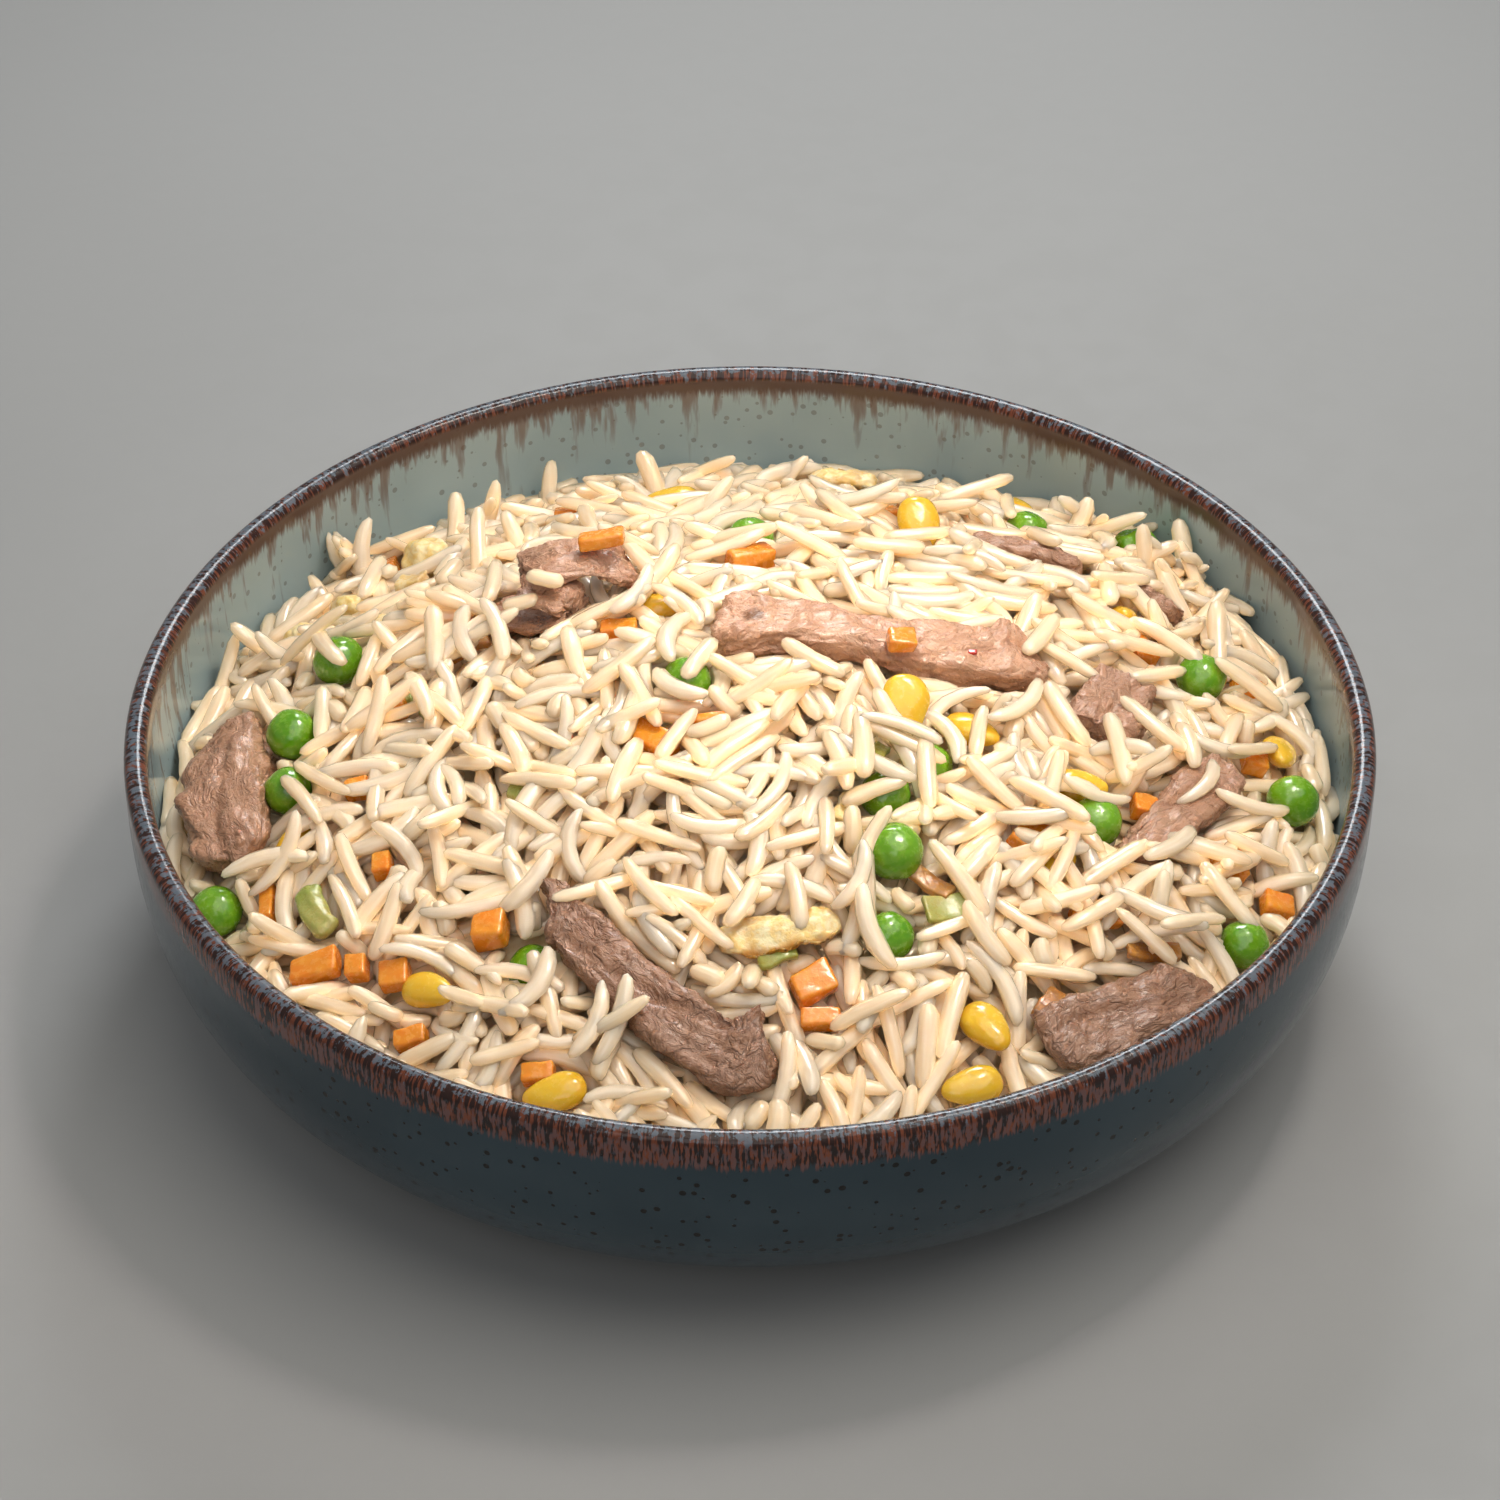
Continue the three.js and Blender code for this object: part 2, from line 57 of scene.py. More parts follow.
# Shader helpers.
def newMaterial(name):
    material = bpy.data.materials.new(name)
    material.use_nodes = True
    tree = material.node_tree
    tree.nodes.clear()
    output = tree.nodes.new("ShaderNodeOutputMaterial")
    skin = tree.nodes.new("ShaderNodeBsdfPrincipled")
    tree.links.new(skin.outputs["BSDF"], output.inputs["Surface"])
    return material, tree, skin


def setInput(tree, socket, value):
    if isinstance(value, bpy.types.NodeSocket):
        tree.links.new(value, socket)
    elif socket.type == "RGBA":
        socket.default_value = (*value, 1)
    else:
        socket.default_value = value


def addNode(tree, kind, inputs=None, **settings):
    node = tree.nodes.new("ShaderNode" + kind)
    for key, value in settings.items():
        setattr(node, key, value)
    for key, value in (inputs or {}).items():
        setInput(tree, node.inputs[key], value)
    return node


def calc(tree, operation, a, b=0.0):
    return addNode(tree, "Math", {0: a, 1: b}, operation=operation).outputs[0]


def plus(tree, a, b):
    return calc(tree, "ADD", a, b)


def minus(tree, a, b):
    return calc(tree, "SUBTRACT", a, b)


def times(tree, a, b):
    return calc(tree, "MULTIPLY", a, b)


def mix(tree, factor, a, b, blend="MIX"):
    node = tree.nodes.new("ShaderNodeMix")
    node.data_type = "RGBA"
    node.blend_type = blend
    for socket, value in ((0, factor), (6, a), (7, b)):
        setInput(tree, node.inputs[socket], value)
    return node.outputs[2]


def span(tree, value, low, high, start=0.0, end=1.0):
    # value from low..high to start..end, held at both ends
    inputs = {"Value": value, "From Min": low, "From Max": high, "To Min": start, "To Max": end}
    return addNode(tree, "MapRange", inputs, clamp=True, interpolation_type="SMOOTHSTEP").outputs["Result"]


def noiseOf(tree, vector, scale, detail=3.0, rough=0.55):
    inputs = {"Vector": vector, "Scale": scale, "Detail": detail, "Roughness": rough}
    return addNode(tree, "TexNoise", inputs).outputs["Fac"]


def stretch(tree, vector, scale):
    return addNode(tree, "Mapping", {"Vector": vector, "Scale": scale}).outputs["Vector"]


def objectPlace(tree):
    return addNode(tree, "TexCoord").outputs["Object"]


def attribute(tree, name, output="Fac"):
    return addNode(tree, "Attribute", attribute_name=name).outputs[output]


def bumped(tree, skin, height, strength, distance):
    inputs = {"Height": height, "Strength": strength, "Distance": distance}
    setInput(tree, skin.inputs["Normal"], addNode(tree, "Bump", inputs).outputs["Normal"])


def soften(skin, weight, scale, radius):
    skin.inputs["Subsurface Weight"].default_value = weight
    skin.inputs["Subsurface Scale"].default_value = scale
    skin.inputs["Subsurface Radius"].default_value = radius


def coated(skin, weight, roughness):
    skin.inputs["Coat Weight"].default_value = weight
    skin.inputs["Coat Roughness"].default_value = roughness


def painted(tree, skin, colour, roughness):
    setInput(tree, skin.inputs["Base Color"], colour)
    setInput(tree, skin.inputs["Roughness"], roughness)


# Wet food: blotches, fine speckle and a fine relief, shared by everything that is cooked.
def makeWetMottle():
    group = bpy.data.node_groups.new("wetMottle", "ShaderNodeTree")
    for name, kind in (("Place", "Vector"), ("Blotches", "Float"), ("Grain", "Float")):
        group.interface.new_socket(name, in_out="INPUT", socket_type="NodeSocket" + kind)
    for name in ("Mottle", "Speckle", "Relief"):
        group.interface.new_socket(name, in_out="OUTPUT", socket_type="NodeSocketFloat")
    source = group.nodes.new("NodeGroupInput")
    sink = group.nodes.new("NodeGroupOutput")
    broad = noiseOf(group, source.outputs["Place"], source.outputs["Blotches"], 1.0)
    fine = noiseOf(group, source.outputs["Place"], source.outputs["Grain"], 2.0, 0.62)
    group.links.new(span(group, broad, 0.3, 0.7), sink.inputs["Mottle"])
    group.links.new(span(group, fine, 0.35, 0.68), sink.inputs["Speckle"])
    group.links.new(plus(group, times(group, broad, 0.4), fine), sink.inputs["Relief"])
    return group


wetMottle = makeWetMottle()


def mottled(tree, place, blotches, grain):
    node = tree.nodes.new("ShaderNodeGroup")
    node.node_tree = wetMottle
    setInput(tree, node.inputs["Place"], place)
    node.inputs["Blotches"].default_value = blotches
    node.inputs["Grain"].default_value = grain
    return node.outputs["Mottle"], node.outputs["Speckle"], node.outputs["Relief"]


# Mesh helpers.
def placed(name, data):
    thing = bpy.data.objects.new(name, data)
    bpy.context.scene.collection.objects.link(thing)
    return thing


def addPiece(mesh, name, slot, material, *nodes):
    piece = placed(name, mesh)
    mesh.materials.clear()
    mesh.materials.append(material)
    mesh.polygons.foreach_set("use_smooth", [True] * len(mesh.polygons))
    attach(piece, "root")
    if nodes:
        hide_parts(*nodes)


def meshOf(shape, name):
    mesh = bpy.data.meshes.new(name)
    shape.to_mesh(mesh)
    shape.free()
    return mesh


def pointsOf(mesh, what="co"):
    values = np.empty(len(mesh.vertices) * 3)
    mesh.vertices.foreach_get(what, values)
    return values.reshape(-1, 3)


def setPoints(mesh, points):
    mesh.vertices.foreach_set("co", points.ravel())
    mesh.update()


def volumeAndArea(mesh):
    mesh.calc_loop_triangles()
    index = np.empty(len(mesh.loop_triangles) * 3, int)
    mesh.loop_triangles.foreach_get("vertices", index)
    a, b, c = (pointsOf(mesh)[index.reshape(-1, 3)[:, k]] for k in range(3))
    cross = np.cross(b - a, c - a)
    return (a * np.cross(b, c)).sum() / 6, np.linalg.norm(cross, axis=1).sum() / 2


def mergedCopy(node):
    shape = bmesh.new()
    shape.from_mesh(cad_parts[node].data)
    bmesh.ops.remove_doubles(shape, verts=shape.verts[:], dist=0.01 * mm)
    bmesh.ops.recalc_face_normals(shape, faces=shape.faces[:])
    return shape


def subdivided(mesh):
    draft = placed("draft", mesh)
    rounding = draft.modifiers.new("rounding", "SUBSURF")
    rounding.levels = rounding.render_levels = smoothLevels
    depsgraph = bpy.context.evaluated_depsgraph_get()
    smooth = bpy.data.meshes.new_from_object(
        draft.evaluated_get(depsgraph), preserve_all_data_layers=True, depsgraph=depsgraph
    )
    bpy.data.objects.remove(draft)
    return smooth


# Rounds a node's shape, then swells it along its normals until it has the node's volume again.
def roundedNode(node, shape=None):
    coarse = meshOf(shape or mergedCopy(node), node)
    wanted = volumeAndArea(coarse)[0]
    smooth = subdivided(coarse)
    volume, area = volumeAndArea(smooth)
    setPoints(smooth, pointsOf(smooth) + pointsOf(smooth, "normal") * (wanted - volume) / area)
    return smooth


# Spins a profile of radii and heights, in mm, into a closed shape.
def spun(profile, steps):
    shape = bmesh.new()
    corners = [shape.verts.new((radius * mm, 0, z * mm)) for radius, z in profile]
    edges = [shape.edges.new(pair) for pair in zip(corners, corners[1:])]
    bmesh.ops.spin(
        shape, geom=corners + edges, cent=(0, 0, 0), axis=(0, 0, 1), angle=2 * math.pi, steps=steps,
        use_merge=True,
    )
    bmesh.ops.remove_doubles(shape, verts=shape.verts[:], dist=0.01 * mm)
    bmesh.ops.recalc_face_normals(shape, faces=shape.faces[:])
    return shape


# Keeps a dressed shape inside its node's own box.
def keepInBox(mesh, node, most=1.0):
    points = pointsOf(mesh)
    low, high = (np.array(corner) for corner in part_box(node))
    scale = np.minimum(most, (high - low) / (points.max(0) - points.min(0)))
    points = points * scale
    points += np.maximum(0, low - points.min(0)) - np.maximum(0, points.max(0) - high)
    setPoints(mesh, points)


def held(values):
    return np.clip(values, 0, 1)


def noiseAt(points, size, offset=0.0):
    # smooth noise from -1 to 1 with features of that size, in the points' own unit
    scaled = points / size + offset
    return np.array([noise.noise(Vector(point)) for point in scaled])


# 1 inside the cells of a cracked surface and 0 along the cracks; places are along, across and through it.
def cellsAt(places, seed):
    scaled = places / (strips["cellLength"], strips["cellWidth"], strips["cellWidth"]) + seed
    bent = scaled + 0.8 * noiseAt(scaled, 1.6, 4.0)[:, None]
    nearest = np.array([noise.voronoi(Vector(point))[0][:2] for point in bent])
    return held((nearest[:, 1] - nearest[:, 0]) / 0.35) ** 0.6


def pushed(mesh, amounts):
    setPoints(mesh, pointsOf(mesh) + pointsOf(mesh, "normal") * amounts[:, None])


def addAttribute(mesh, name, values):
    kind = "FLOAT" if values.ndim == 1 else "FLOAT_VECTOR"
    layer = mesh.attributes.new(name, kind, "POINT")
    layer.data.foreach_set("value" if values.ndim == 1 else "vector", values.astype(np.float32).ravel())


def readAttribute(mesh, name):
    layer = mesh.attributes[name]
    values = np.empty(len(layer.data) * 3)
    layer.data.foreach_get("vector", values)
    return values.reshape(-1, 3)


# The bowl, spun from its profile. Lengths are in mm where nothing turns them into metres.
bowl = {
    "rimRadius": 100,
    "height": 48,
    "lipRadius": 1.9,
    "floorThickness": 4.5,
    "cornerRadius": 38,
    "footOuter": 57,
    "footInner": 51,
    "footDepth": 1.2,
    "heel": 2.2,
    "bendHeight": 3.3,
    "bendRadius": 2.35,
    "segments": 192,
    "wallRows": 22,
    "lipRows": 12,
    "insideColour": (0.39, 0.49, 0.5),
    "insideSecond": (0.31, 0.405, 0.425),
    # outside glaze: a dark teal blue, with its colours set darker still as painted shade for a wall that lies
    # in shadow
    "outsideShadedColour": (0.034, 0.06, 0.076),
    "outsideShadedSecond": (0.023, 0.043, 0.056),
    "bandColour": (0.085, 0.04, 0.026),
    "dripColour": (0.17, 0.092, 0.06),
    "rustColour": (0.23, 0.064, 0.03),
    "darkStroke": (0.022, 0.013, 0.012),
    "blueStroke": (0.075, 0.105, 0.135),
    "lipColour": (0.03, 0.013, 0.01),
    "paleBlue": (0.115, 0.15, 0.185),
    "clayColour": (0.42, 0.33, 0.25),
    "gritColour": (0.3, 0.23, 0.17),
    "specksPerMetre": 520,
    "speckSizes": (0.06, 0.3),  # shares of a speck's own cell
    "dripLength": 11.5,
    "dripFringe": 6.5,
}
lipHeight = bowl["height"] - bowl["lipRadius"]


def wallCurve(inner, outer, low, z):
    left = held(1 - (z - low) / (lipHeight - low))
    return inner + (outer - inner) * (1 - left ** bowl["bendHeight"]) ** (1 / bowl["bendRadius"])


def wallRows(low):
    return low + (lipHeight - low) * (1 - np.cos(np.linspace(0, math.pi / 2, bowl["wallRows"])))


insideHeights = wallRows(bowl["floorThickness"])
insideRadii = wallCurve(
    bowl["cornerRadius"] - 2, bowl["rimRadius"] - 2 * bowl["lipRadius"], bowl["floorThickness"], insideHeights
)


def makeBowl():
    foot = bowl["footDepth"]
    profile = [(0, foot), (bowl["footInner"] - 4, foot), (bowl["footInner"], foot * 0.8)]
    profile += [(bowl["footInner"] + foot * 0.7, foot * 0.15), (bowl["footInner"] + foot * 1.2, 0)]
    profile += [(bowl["footOuter"] - 0.6, 0), (bowl["footOuter"], 0.25), (bowl["footOuter"] + 0.4, 0.9)]
    for z in wallRows(bowl["heel"]):
        profile.append((float(wallCurve(bowl["cornerRadius"], bowl["rimRadius"], 0, z)), z))
    for turn in np.linspace(0, math.pi, bowl["lipRows"])[1:-1]:
        reach = bowl["rimRadius"] - bowl["lipRadius"] + bowl["lipRadius"] * math.cos(turn)
        profile.append((reach, lipHeight + bowl["lipRadius"] * math.sin(turn)))
    profile += list(zip(insideRadii[::-1], insideHeights[::-1]))
    profile.append((0, bowl["floorThickness"]))
    mesh = meshOf(spun(profile, bowl["segments"]), "bowlGlazed")
    points = pointsOf(mesh) / mm
    radii, heights = np.hypot(points[:, 0], points[:, 1]), points[:, 2]
    outer = wallCurve(bowl["cornerRadius"], bowl["rimRadius"], 0, np.minimum(heights, lipHeight))
    middle = (outer + np.interp(heights, insideHeights, insideRadii)) / 2
    addAttribute(mesh, "inside", ((radii < middle) & (heights > bowl["floorThickness"] - 0.1)).astype(float))
    return mesh


# Reactive glaze: rust breaks through round the rim and runs down in drips, with specks below.
def makeGlaze():
    material, tree, skin = newMaterial("reactiveGlaze")
    place = objectPlace(tree)
    split = addNode(tree, "SeparateXYZ", {0: place})
    height = split.outputs["Z"]
    flat = addNode(tree, "CombineXYZ", {"X": split.outputs["X"], "Y": split.outputs["Y"]}).outputs[0]
    inside = attribute(tree, "inside")
    facing = addNode(tree, "VectorMath", {0: flat}, operation="NORMALIZE").outputs["Vector"]
    turned = addNode(tree, "SeparateXYZ", {0: facing})
    runs = addNode(tree, "CombineXYZ", {
        "X": turned.outputs["X"], "Y": turned.outputs["Y"], "Z": times(tree, height, 1.6),
    }).outputs[0]
    thick = noiseOf(tree, runs, 7.0, 2.0)
    thin = noiseOf(tree, runs, 34.0, 3.0, 0.6)
    hair = noiseOf(tree, runs, 190.0, 2.0, 0.6)
    blots = noiseOf(tree, stretch(tree, place, (1.0, 1.0, 0.5)), 1200.0, 3.0, 0.6)
    cloud = noiseOf(tree, place, 22.0, 3.0)
    clouded = span(tree, cloud, 0.3, 0.7)
    inner = mix(tree, clouded, bowl["insideColour"], bowl["insideSecond"])
    # outside: the dark glaze with painted shade, darker than the glaze itself
    outer = mix(tree, clouded, bowl["outsideShadedColour"], bowl["outsideShadedSecond"])
    # dark specks, each a small spot in a cell of its own
    spots = addNode(tree, "TexVoronoi", {"Vector": place, "Scale": bowl["specksPerMetre"], "Randomness": 1.0})
    chance = addNode(tree, "SeparateXYZ", {0: spots.outputs["Color"]}).outputs["X"]
    size = span(tree, chance, 0.15, 1.0, *bowl["speckSizes"])
    speck = span(tree, minus(tree, size, spots.outputs["Distance"]), 0.0, 0.04)
    inner = mix(tree, times(tree, speck, 0.45), inner, (0.13, 0.095, 0.06))
    outer = mix(tree, speck, outer, (0.003, 0.003, 0.003))
    # inside: a brown band below the lip that feathers out in drips
    depth = minus(tree, lipHeight * mm, height)
    longer = span(tree, turned.outputs["X"], -1.0, -0.2, 2.3, 1.2)
    drop = times(tree, span(tree, thin, 0.46, 0.7), span(tree, thick, 0.32, 0.62, 0.3, 1.0))
    drop = times(tree, times(tree, drop, longer), bowl["dripLength"] * mm)
    drop = plus(tree, drop, times(tree, hair, bowl["dripFringe"] * mm))
    drips = span(tree, calc(tree, "DIVIDE", depth, drop), 0.15, 1.1, 1.0, 0.0)
    band = span(tree, minus(tree, depth, times(tree, hair, 3 * mm)), -0.5 * mm, 1.6 * mm, 1.0, 0.0)
    inner = mix(tree, times(tree, drips, 0.78), inner, bowl["dripColour"])
    inner = mix(tree, times(tree, band, 0.8), inner, bowl["bandColour"])
    # outside: short upright strokes of rust and blue in the top few millimetres
    top = bowl["height"]
    strokes = mix(tree, span(tree, hair, 0.44, 0.54), bowl["darkStroke"], bowl["rustColour"])
    broken = span(tree, plus(tree, hair, blots), 0.96, 1.08)
    strokes = mix(tree, times(tree, broken, 0.4), strokes, bowl["blueStroke"])
    edge = span(tree, plus(tree, height, times(tree, hair, 4 * mm)), (top - 4) * mm, (top - 2.7) * mm)
    colour = mix(tree, inside, mix(tree, edge, outer, strokes), inner)
    # lip: dark brown with pale blue mottling
    lip = span(tree, height, (top - 1.8) * mm, (top - 1) * mm)
    crest = span(tree, height, (top - 0.7) * mm, top * mm, -0.03, 0.08)
    mottle = plus(tree, times(tree, blots, 0.7), times(tree, hair, 0.4))
    mottle = span(tree, plus(tree, mottle, crest), 0.575, 0.65)
    lipColour = mix(tree, span(tree, hair, 0.46, 0.58, 0.0, 0.7), bowl["lipColour"], bowl["rustColour"])
    lipColour = mix(tree, times(tree, mottle, 0.85), lipColour, bowl["paleBlue"])
    colour = mix(tree, lip, colour, lipColour)
    # the bare ring that the bowl stands on
    clay = span(tree, height, 0.2 * mm, 0.6 * mm, 1.0, 0.0)
    grit = mix(tree, span(tree, blots, 0.4, 0.6), bowl["clayColour"], bowl["gritColour"])
    gloss = plus(tree, span(tree, blots, 0.3, 0.7, 0.1, 0.22), times(tree, clay, 0.6))
    painted(tree, skin, mix(tree, clay, colour, grit), gloss)
    relief = plus(tree, times(tree, cloud, 0.6), times(tree, times(tree, lip, blots), 0.5))
    bumped(tree, skin, minus(tree, relief, times(tree, speck, 0.12)), 0.35, 0.4 * mm)
    skin.inputs["Specular IOR Level"].default_value = 0.3
    coated(skin, 0.1, 0.06)
    return material


addPiece(makeBowl(), "bowlGlazed", "glaze", makeGlaze(), "bowl")
report("bowl")

# The heap's form, as the solids have it.
heap = {
    "top": 55.5,
    "edge": 29.5,
    "lean": 3,
    "swellAzimuth": 36,
    "swellRise": 4.5,
    "swellSpread": 24,
    "lumps": [(-24, 6, 2.5, 22), (16, -38, 2, 20), (52, 8, -2, 18), (-58, -28, -1.5, 18), (0, 52, -1.5, 20)],
    "coreDepth": 4.4,
    "segments": 96,
    "coreShadeColour": (0.86, 0.66, 0.4),
    "cell": 0.5,
}


def edgeHeight(azimuth):
    away = (np.degrees(azimuth) - heap["swellAzimuth"]) / heap["swellSpread"]
    return heap["edge"] - heap["lean"] * np.sin(azimuth) + heap["swellRise"] * np.exp(-(away ** 2))


def heapHeight(x, y):
    edge = edgeHeight(np.arctan2(y, x))
    share = np.minimum(1, np.hypot(x, y) / np.interp(edge, insideHeights, insideRadii)) ** 2
    top = heap["top"]
    for lumpX, lumpY, rise, spread in heap["lumps"]:
        top = top + rise * np.exp(-((x - lumpX) ** 2 + (y - lumpY) ** 2) / (2 * spread ** 2))
    return edge + (top - edge) * (1 - share)


half = bowl["rimRadius"]
ticks = np.arange(-half, half + heap["cell"] / 2, heap["cell"])
gridX, gridY = np.meshgrid(ticks, ticks, indexing="ij")
wallHeight = np.interp(np.hypot(gridX, gridY), insideRadii, insideHeights, right=70)
wanted = heapHeight(gridX, gridY)  # the bare core that the toppings were fitted to
support = np.maximum(wanted - heap["coreDepth"], wallHeight)  # rises as grains are laid
toppingTop = np.full(gridX.shape, -99.0)
toppingBottom = np.full(gridX.shape, 999.0)


def cellOf(value):
    return np.clip(np.rint((value + half) / heap["cell"]).astype(int), 0, len(ticks) - 1)


# Marks the room that a topping takes, with half a millimetre round it.
def markTopping(mesh):
    points = pointsOf(mesh) / mm
    for stepX in (-1, 0, 1):
        for stepY in (-1, 0, 1):
            cells = cellOf(points[:, 0] + stepX * heap["cell"]), cellOf(points[:, 1] + stepY * heap["cell"])
            np.maximum.at(toppingTop, cells, points[:, 2])
            np.minimum.at(toppingBottom, cells, points[:, 2])


def makeCore():
    edge = float(heap["edge"] - heap["coreDepth"])
    rows = [z for z in insideHeights if z < edge]
    profile = [(0, rows[0])] + [(r - 0.5, z + 0.35) for r, z in zip(insideRadii, rows)]
    reach = float(np.interp(edge, insideHeights, insideRadii)) - 0.5
    profile += [(reach * share, edge) for share in np.linspace(1, 0, 30)]
    shape = spun(profile, heap["segments"])
    for vert in shape.verts:
        x, y, z = (value / mm for value in vert.co)
        if z > edge - 0.01 and math.hypot(x, y) < reach + 0.01:
            bump = 0.5 * noise.noise(Vector((x, y, 0)) * 0.4)
            vert.co.z = (max(edge, float(heapHeight(x, y)) - heap["coreDepth"]) + bump - 0.4) * mm
    return meshOf(shape, "riceCore")


# Colours of the food.
def makeRice(name, light, deep, cloudy):
    material, tree, skin = newMaterial(name)
    along = attribute(tree, "grainPlace", "Vector")
    streak = noiseOf(tree, stretch(tree, along, (0.16, 1.5, 1.0)), 1.0, 1.0, 0.6)
    _, speckle, _ = mottled(tree, objectPlace(tree), 160.0, 1500.0)
    colour = mix(tree, attribute(tree, "tint"), light, deep)
    colour = mix(tree, span(tree, streak, 0.35, 0.75, 0.0, 0.45), colour, cloudy)
    paintedTranslucentEdge = addNode(tree, "LayerWeight", {"Blend": 0.5}).outputs["Facing"]  # the glassy edge of a cooked grain, as painted translucency: edges seen at a slant are tinted as if light shone through them
    colour = mix(tree, span(tree, paintedTranslucentEdge, 0.35, 1.0, 0.0, 0.35), colour, (0.92, 0.72, 0.44))
    rough = plus(tree, span(tree, speckle, 0.0, 1.0, 0.1, 0.22), times(tree, streak, 0.08))
    painted(tree, skin, colour, rough)
    bumped(tree, skin, streak, 0.3, 0.2 * mm)
    skin.subsurface_method = "BURLEY"
    soften(skin, 1.0, 4.5 * mm, (1.0, 0.78, 0.52))
    skin.inputs["Specular IOR Level"].default_value = 0.5
    coated(skin, 0.45, 0.06)
    return material


# The core under the grains: rice coloured, a little darker and warmer, as painted shade in the gaps between
# the grains.
def makeCoreSkin():
    material, tree, skin = newMaterial("riceShade")
    mottle, speckle, relief = mottled(tree, objectPlace(tree), 120.0, 700.0)
    colour = mix(tree, mottle, heap["coreShadeColour"], (0.8, 0.58, 0.32))
    colour = mix(tree, speckle, colour, (0.88, 0.72, 0.46))
    painted(tree, skin, colour, span(tree, speckle, 0, 1, 0.4, 0.6))
    bumped(tree, skin, relief, 0.6, 0.6 * mm)
    return material


def makeBeef():
    material, tree, skin = newMaterial("beefCooked")
    along = attribute(tree, "stripPlace", "Vector")
    seared = attribute(tree, "seared")
    fibres = noiseOf(tree, stretch(tree, along, (90.0, 900.0, 900.0)), 1.0, 3.0, 0.6)
    threads = noiseOf(tree, stretch(tree, along, (260.0, 3200.0, 3200.0)), 1.0, 2.0, 0.6)
    mottle, speckle, relief = mottled(tree, objectPlace(tree), 190.0, 1300.0)
    creases = addNode(tree, "TexNoise", {
        "Vector": stretch(tree, along, (330.0, 560.0, 560.0)), "Scale": 1.0, "Detail": 3.0, "Distortion": 1.2
    }).outputs["Fac"]
    crack = span(tree, calc(tree, "ABSOLUTE", minus(tree, creases, 0.5)), 0.0, 0.1)
    colour = mix(tree, span(tree, fibres, 0.32, 0.68), (0.535, 0.275, 0.165), (0.63, 0.34, 0.205))
    colour = mix(tree, times(tree, mottle, 0.45), colour, (0.665, 0.365, 0.21))
    colour = mix(tree, span(tree, threads, 0.55, 0.75, 0.0, 0.3), colour, (0.71, 0.435, 0.285))
    shade = attribute(tree, "shade")
    # painted shade in the creases: their colour is darkened, more so on the darker strips
    paintedCreaseShade = times(tree, minus(tree, 1.0, crack), span(tree, shade, 0, 1, 0.08, 0.16))
    colour = mix(tree, paintedCreaseShade, colour, (0.26, 0.115, 0.075))
    # painted shade: the darker strips are multiplied darker, as if they lay in shadow, besides their own
    # deeper colour
    colour = mix(tree, shade, colour, (0.52, 0.48, 0.46), "MULTIPLY")
    brown = span(tree, plus(tree, seared, times(tree, speckle, 0.25)), 0.45, 0.95)
    colour = mix(tree, times(tree, brown, 0.85), colour, (0.185, 0.076, 0.03))
    painted(tree, skin, colour, span(tree, speckle, 0.0, 1.0, 0.26, 0.5))
    height = plus(tree, times(tree, fibres, 0.4), times(tree, threads, 0.2))
    wrinkled = plus(tree, times(tree, crack, 0.5), times(tree, creases, 2.0))
    height = plus(tree, height, times(tree, wrinkled, span(tree, shade, 0, 1, 0.45, 1.0)))
    bumped(tree, skin, plus(tree, height, times(tree, relief, 0.5)), 1.0, 0.5 * mm)
    soften(skin, 0.12, 1.2 * mm, (1.0, 0.42, 0.28))
    coated(skin, 0.4, 0.2)
    return material


def makeVegetable(name, looks):
    material, tree, skin = newMaterial(name)
    mottle, speckle, relief = mottled(tree, objectPlace(tree), looks["blotches"], looks["grain"])
    colour = mix(tree, mottle, looks["colour"], looks["second"])
    colour = mix(tree, span(tree, speckle, 0.0, 1.0, 0.0, looks["speckle"]), colour, looks["third"])
    colour = mix(tree, attribute(tree, "tint"), colour, looks["tinted"])
    painted(tree, skin, colour, span(tree, speckle, 0.0, 1.0, *looks["roughness"]))
    bumped(tree, skin, relief, looks["bump"], 0.3 * mm)
    soften(skin, looks["soft"], 1.6 * mm, looks["glow"])
    coated(skin, looks["coat"], 0.1)
    return material


peaLooks = {
    "colour": (0.115, 0.32, 0.004), "second": (0.2, 0.42, 0.01), "third": (0.34, 0.52, 0.03),
    "tinted": (0.05, 0.22, 0.003), "blotches": 210.0, "grain": 1100.0, "speckle": 0.25,
    "roughness": (0.14, 0.3), "bump": 0.22, "soft": 0.22, "glow": (0.5, 1.0, 0.2), "coat": 0.6,
}
cornLooks = {
    "colour": (0.83, 0.47, 0.014), "second": (0.85, 0.52, 0.028), "third": (0.87, 0.6, 0.1),
    "tinted": (0.79, 0.38, 0.008), "blotches": 170.0, "grain": 900.0, "speckle": 0.2,
    "roughness": (0.14, 0.28), "bump": 0.18, "soft": 0.3, "glow": (1.0, 0.6, 0.15), "coat": 0.6,
}
carrotLooks = {
    "colour": (0.85, 0.225, 0.01), "second": (0.88, 0.3, 0.02), "third": (0.9, 0.42, 0.065),
    "tinted": (0.88, 0.36, 0.03), "blotches": 260.0, "grain": 1100.0, "speckle": 0.35,
    "roughness": (0.15, 0.32), "bump": 0.3, "soft": 0.45, "glow": (1.0, 0.45, 0.1), "coat": 0.6,
}
eggLooks = {
    "colour": (0.91, 0.68, 0.28), "second": (0.93, 0.8, 0.5), "third": (0.86, 0.54, 0.11),
    "tinted": (0.56, 0.24, 0.03), "blotches": 300.0, "grain": 1000.0, "speckle": 0.5,
    "roughness": (0.3, 0.5), "bump": 0.7, "soft": 0.3, "glow": (1.0, 0.75, 0.35), "coat": 0.15,
}
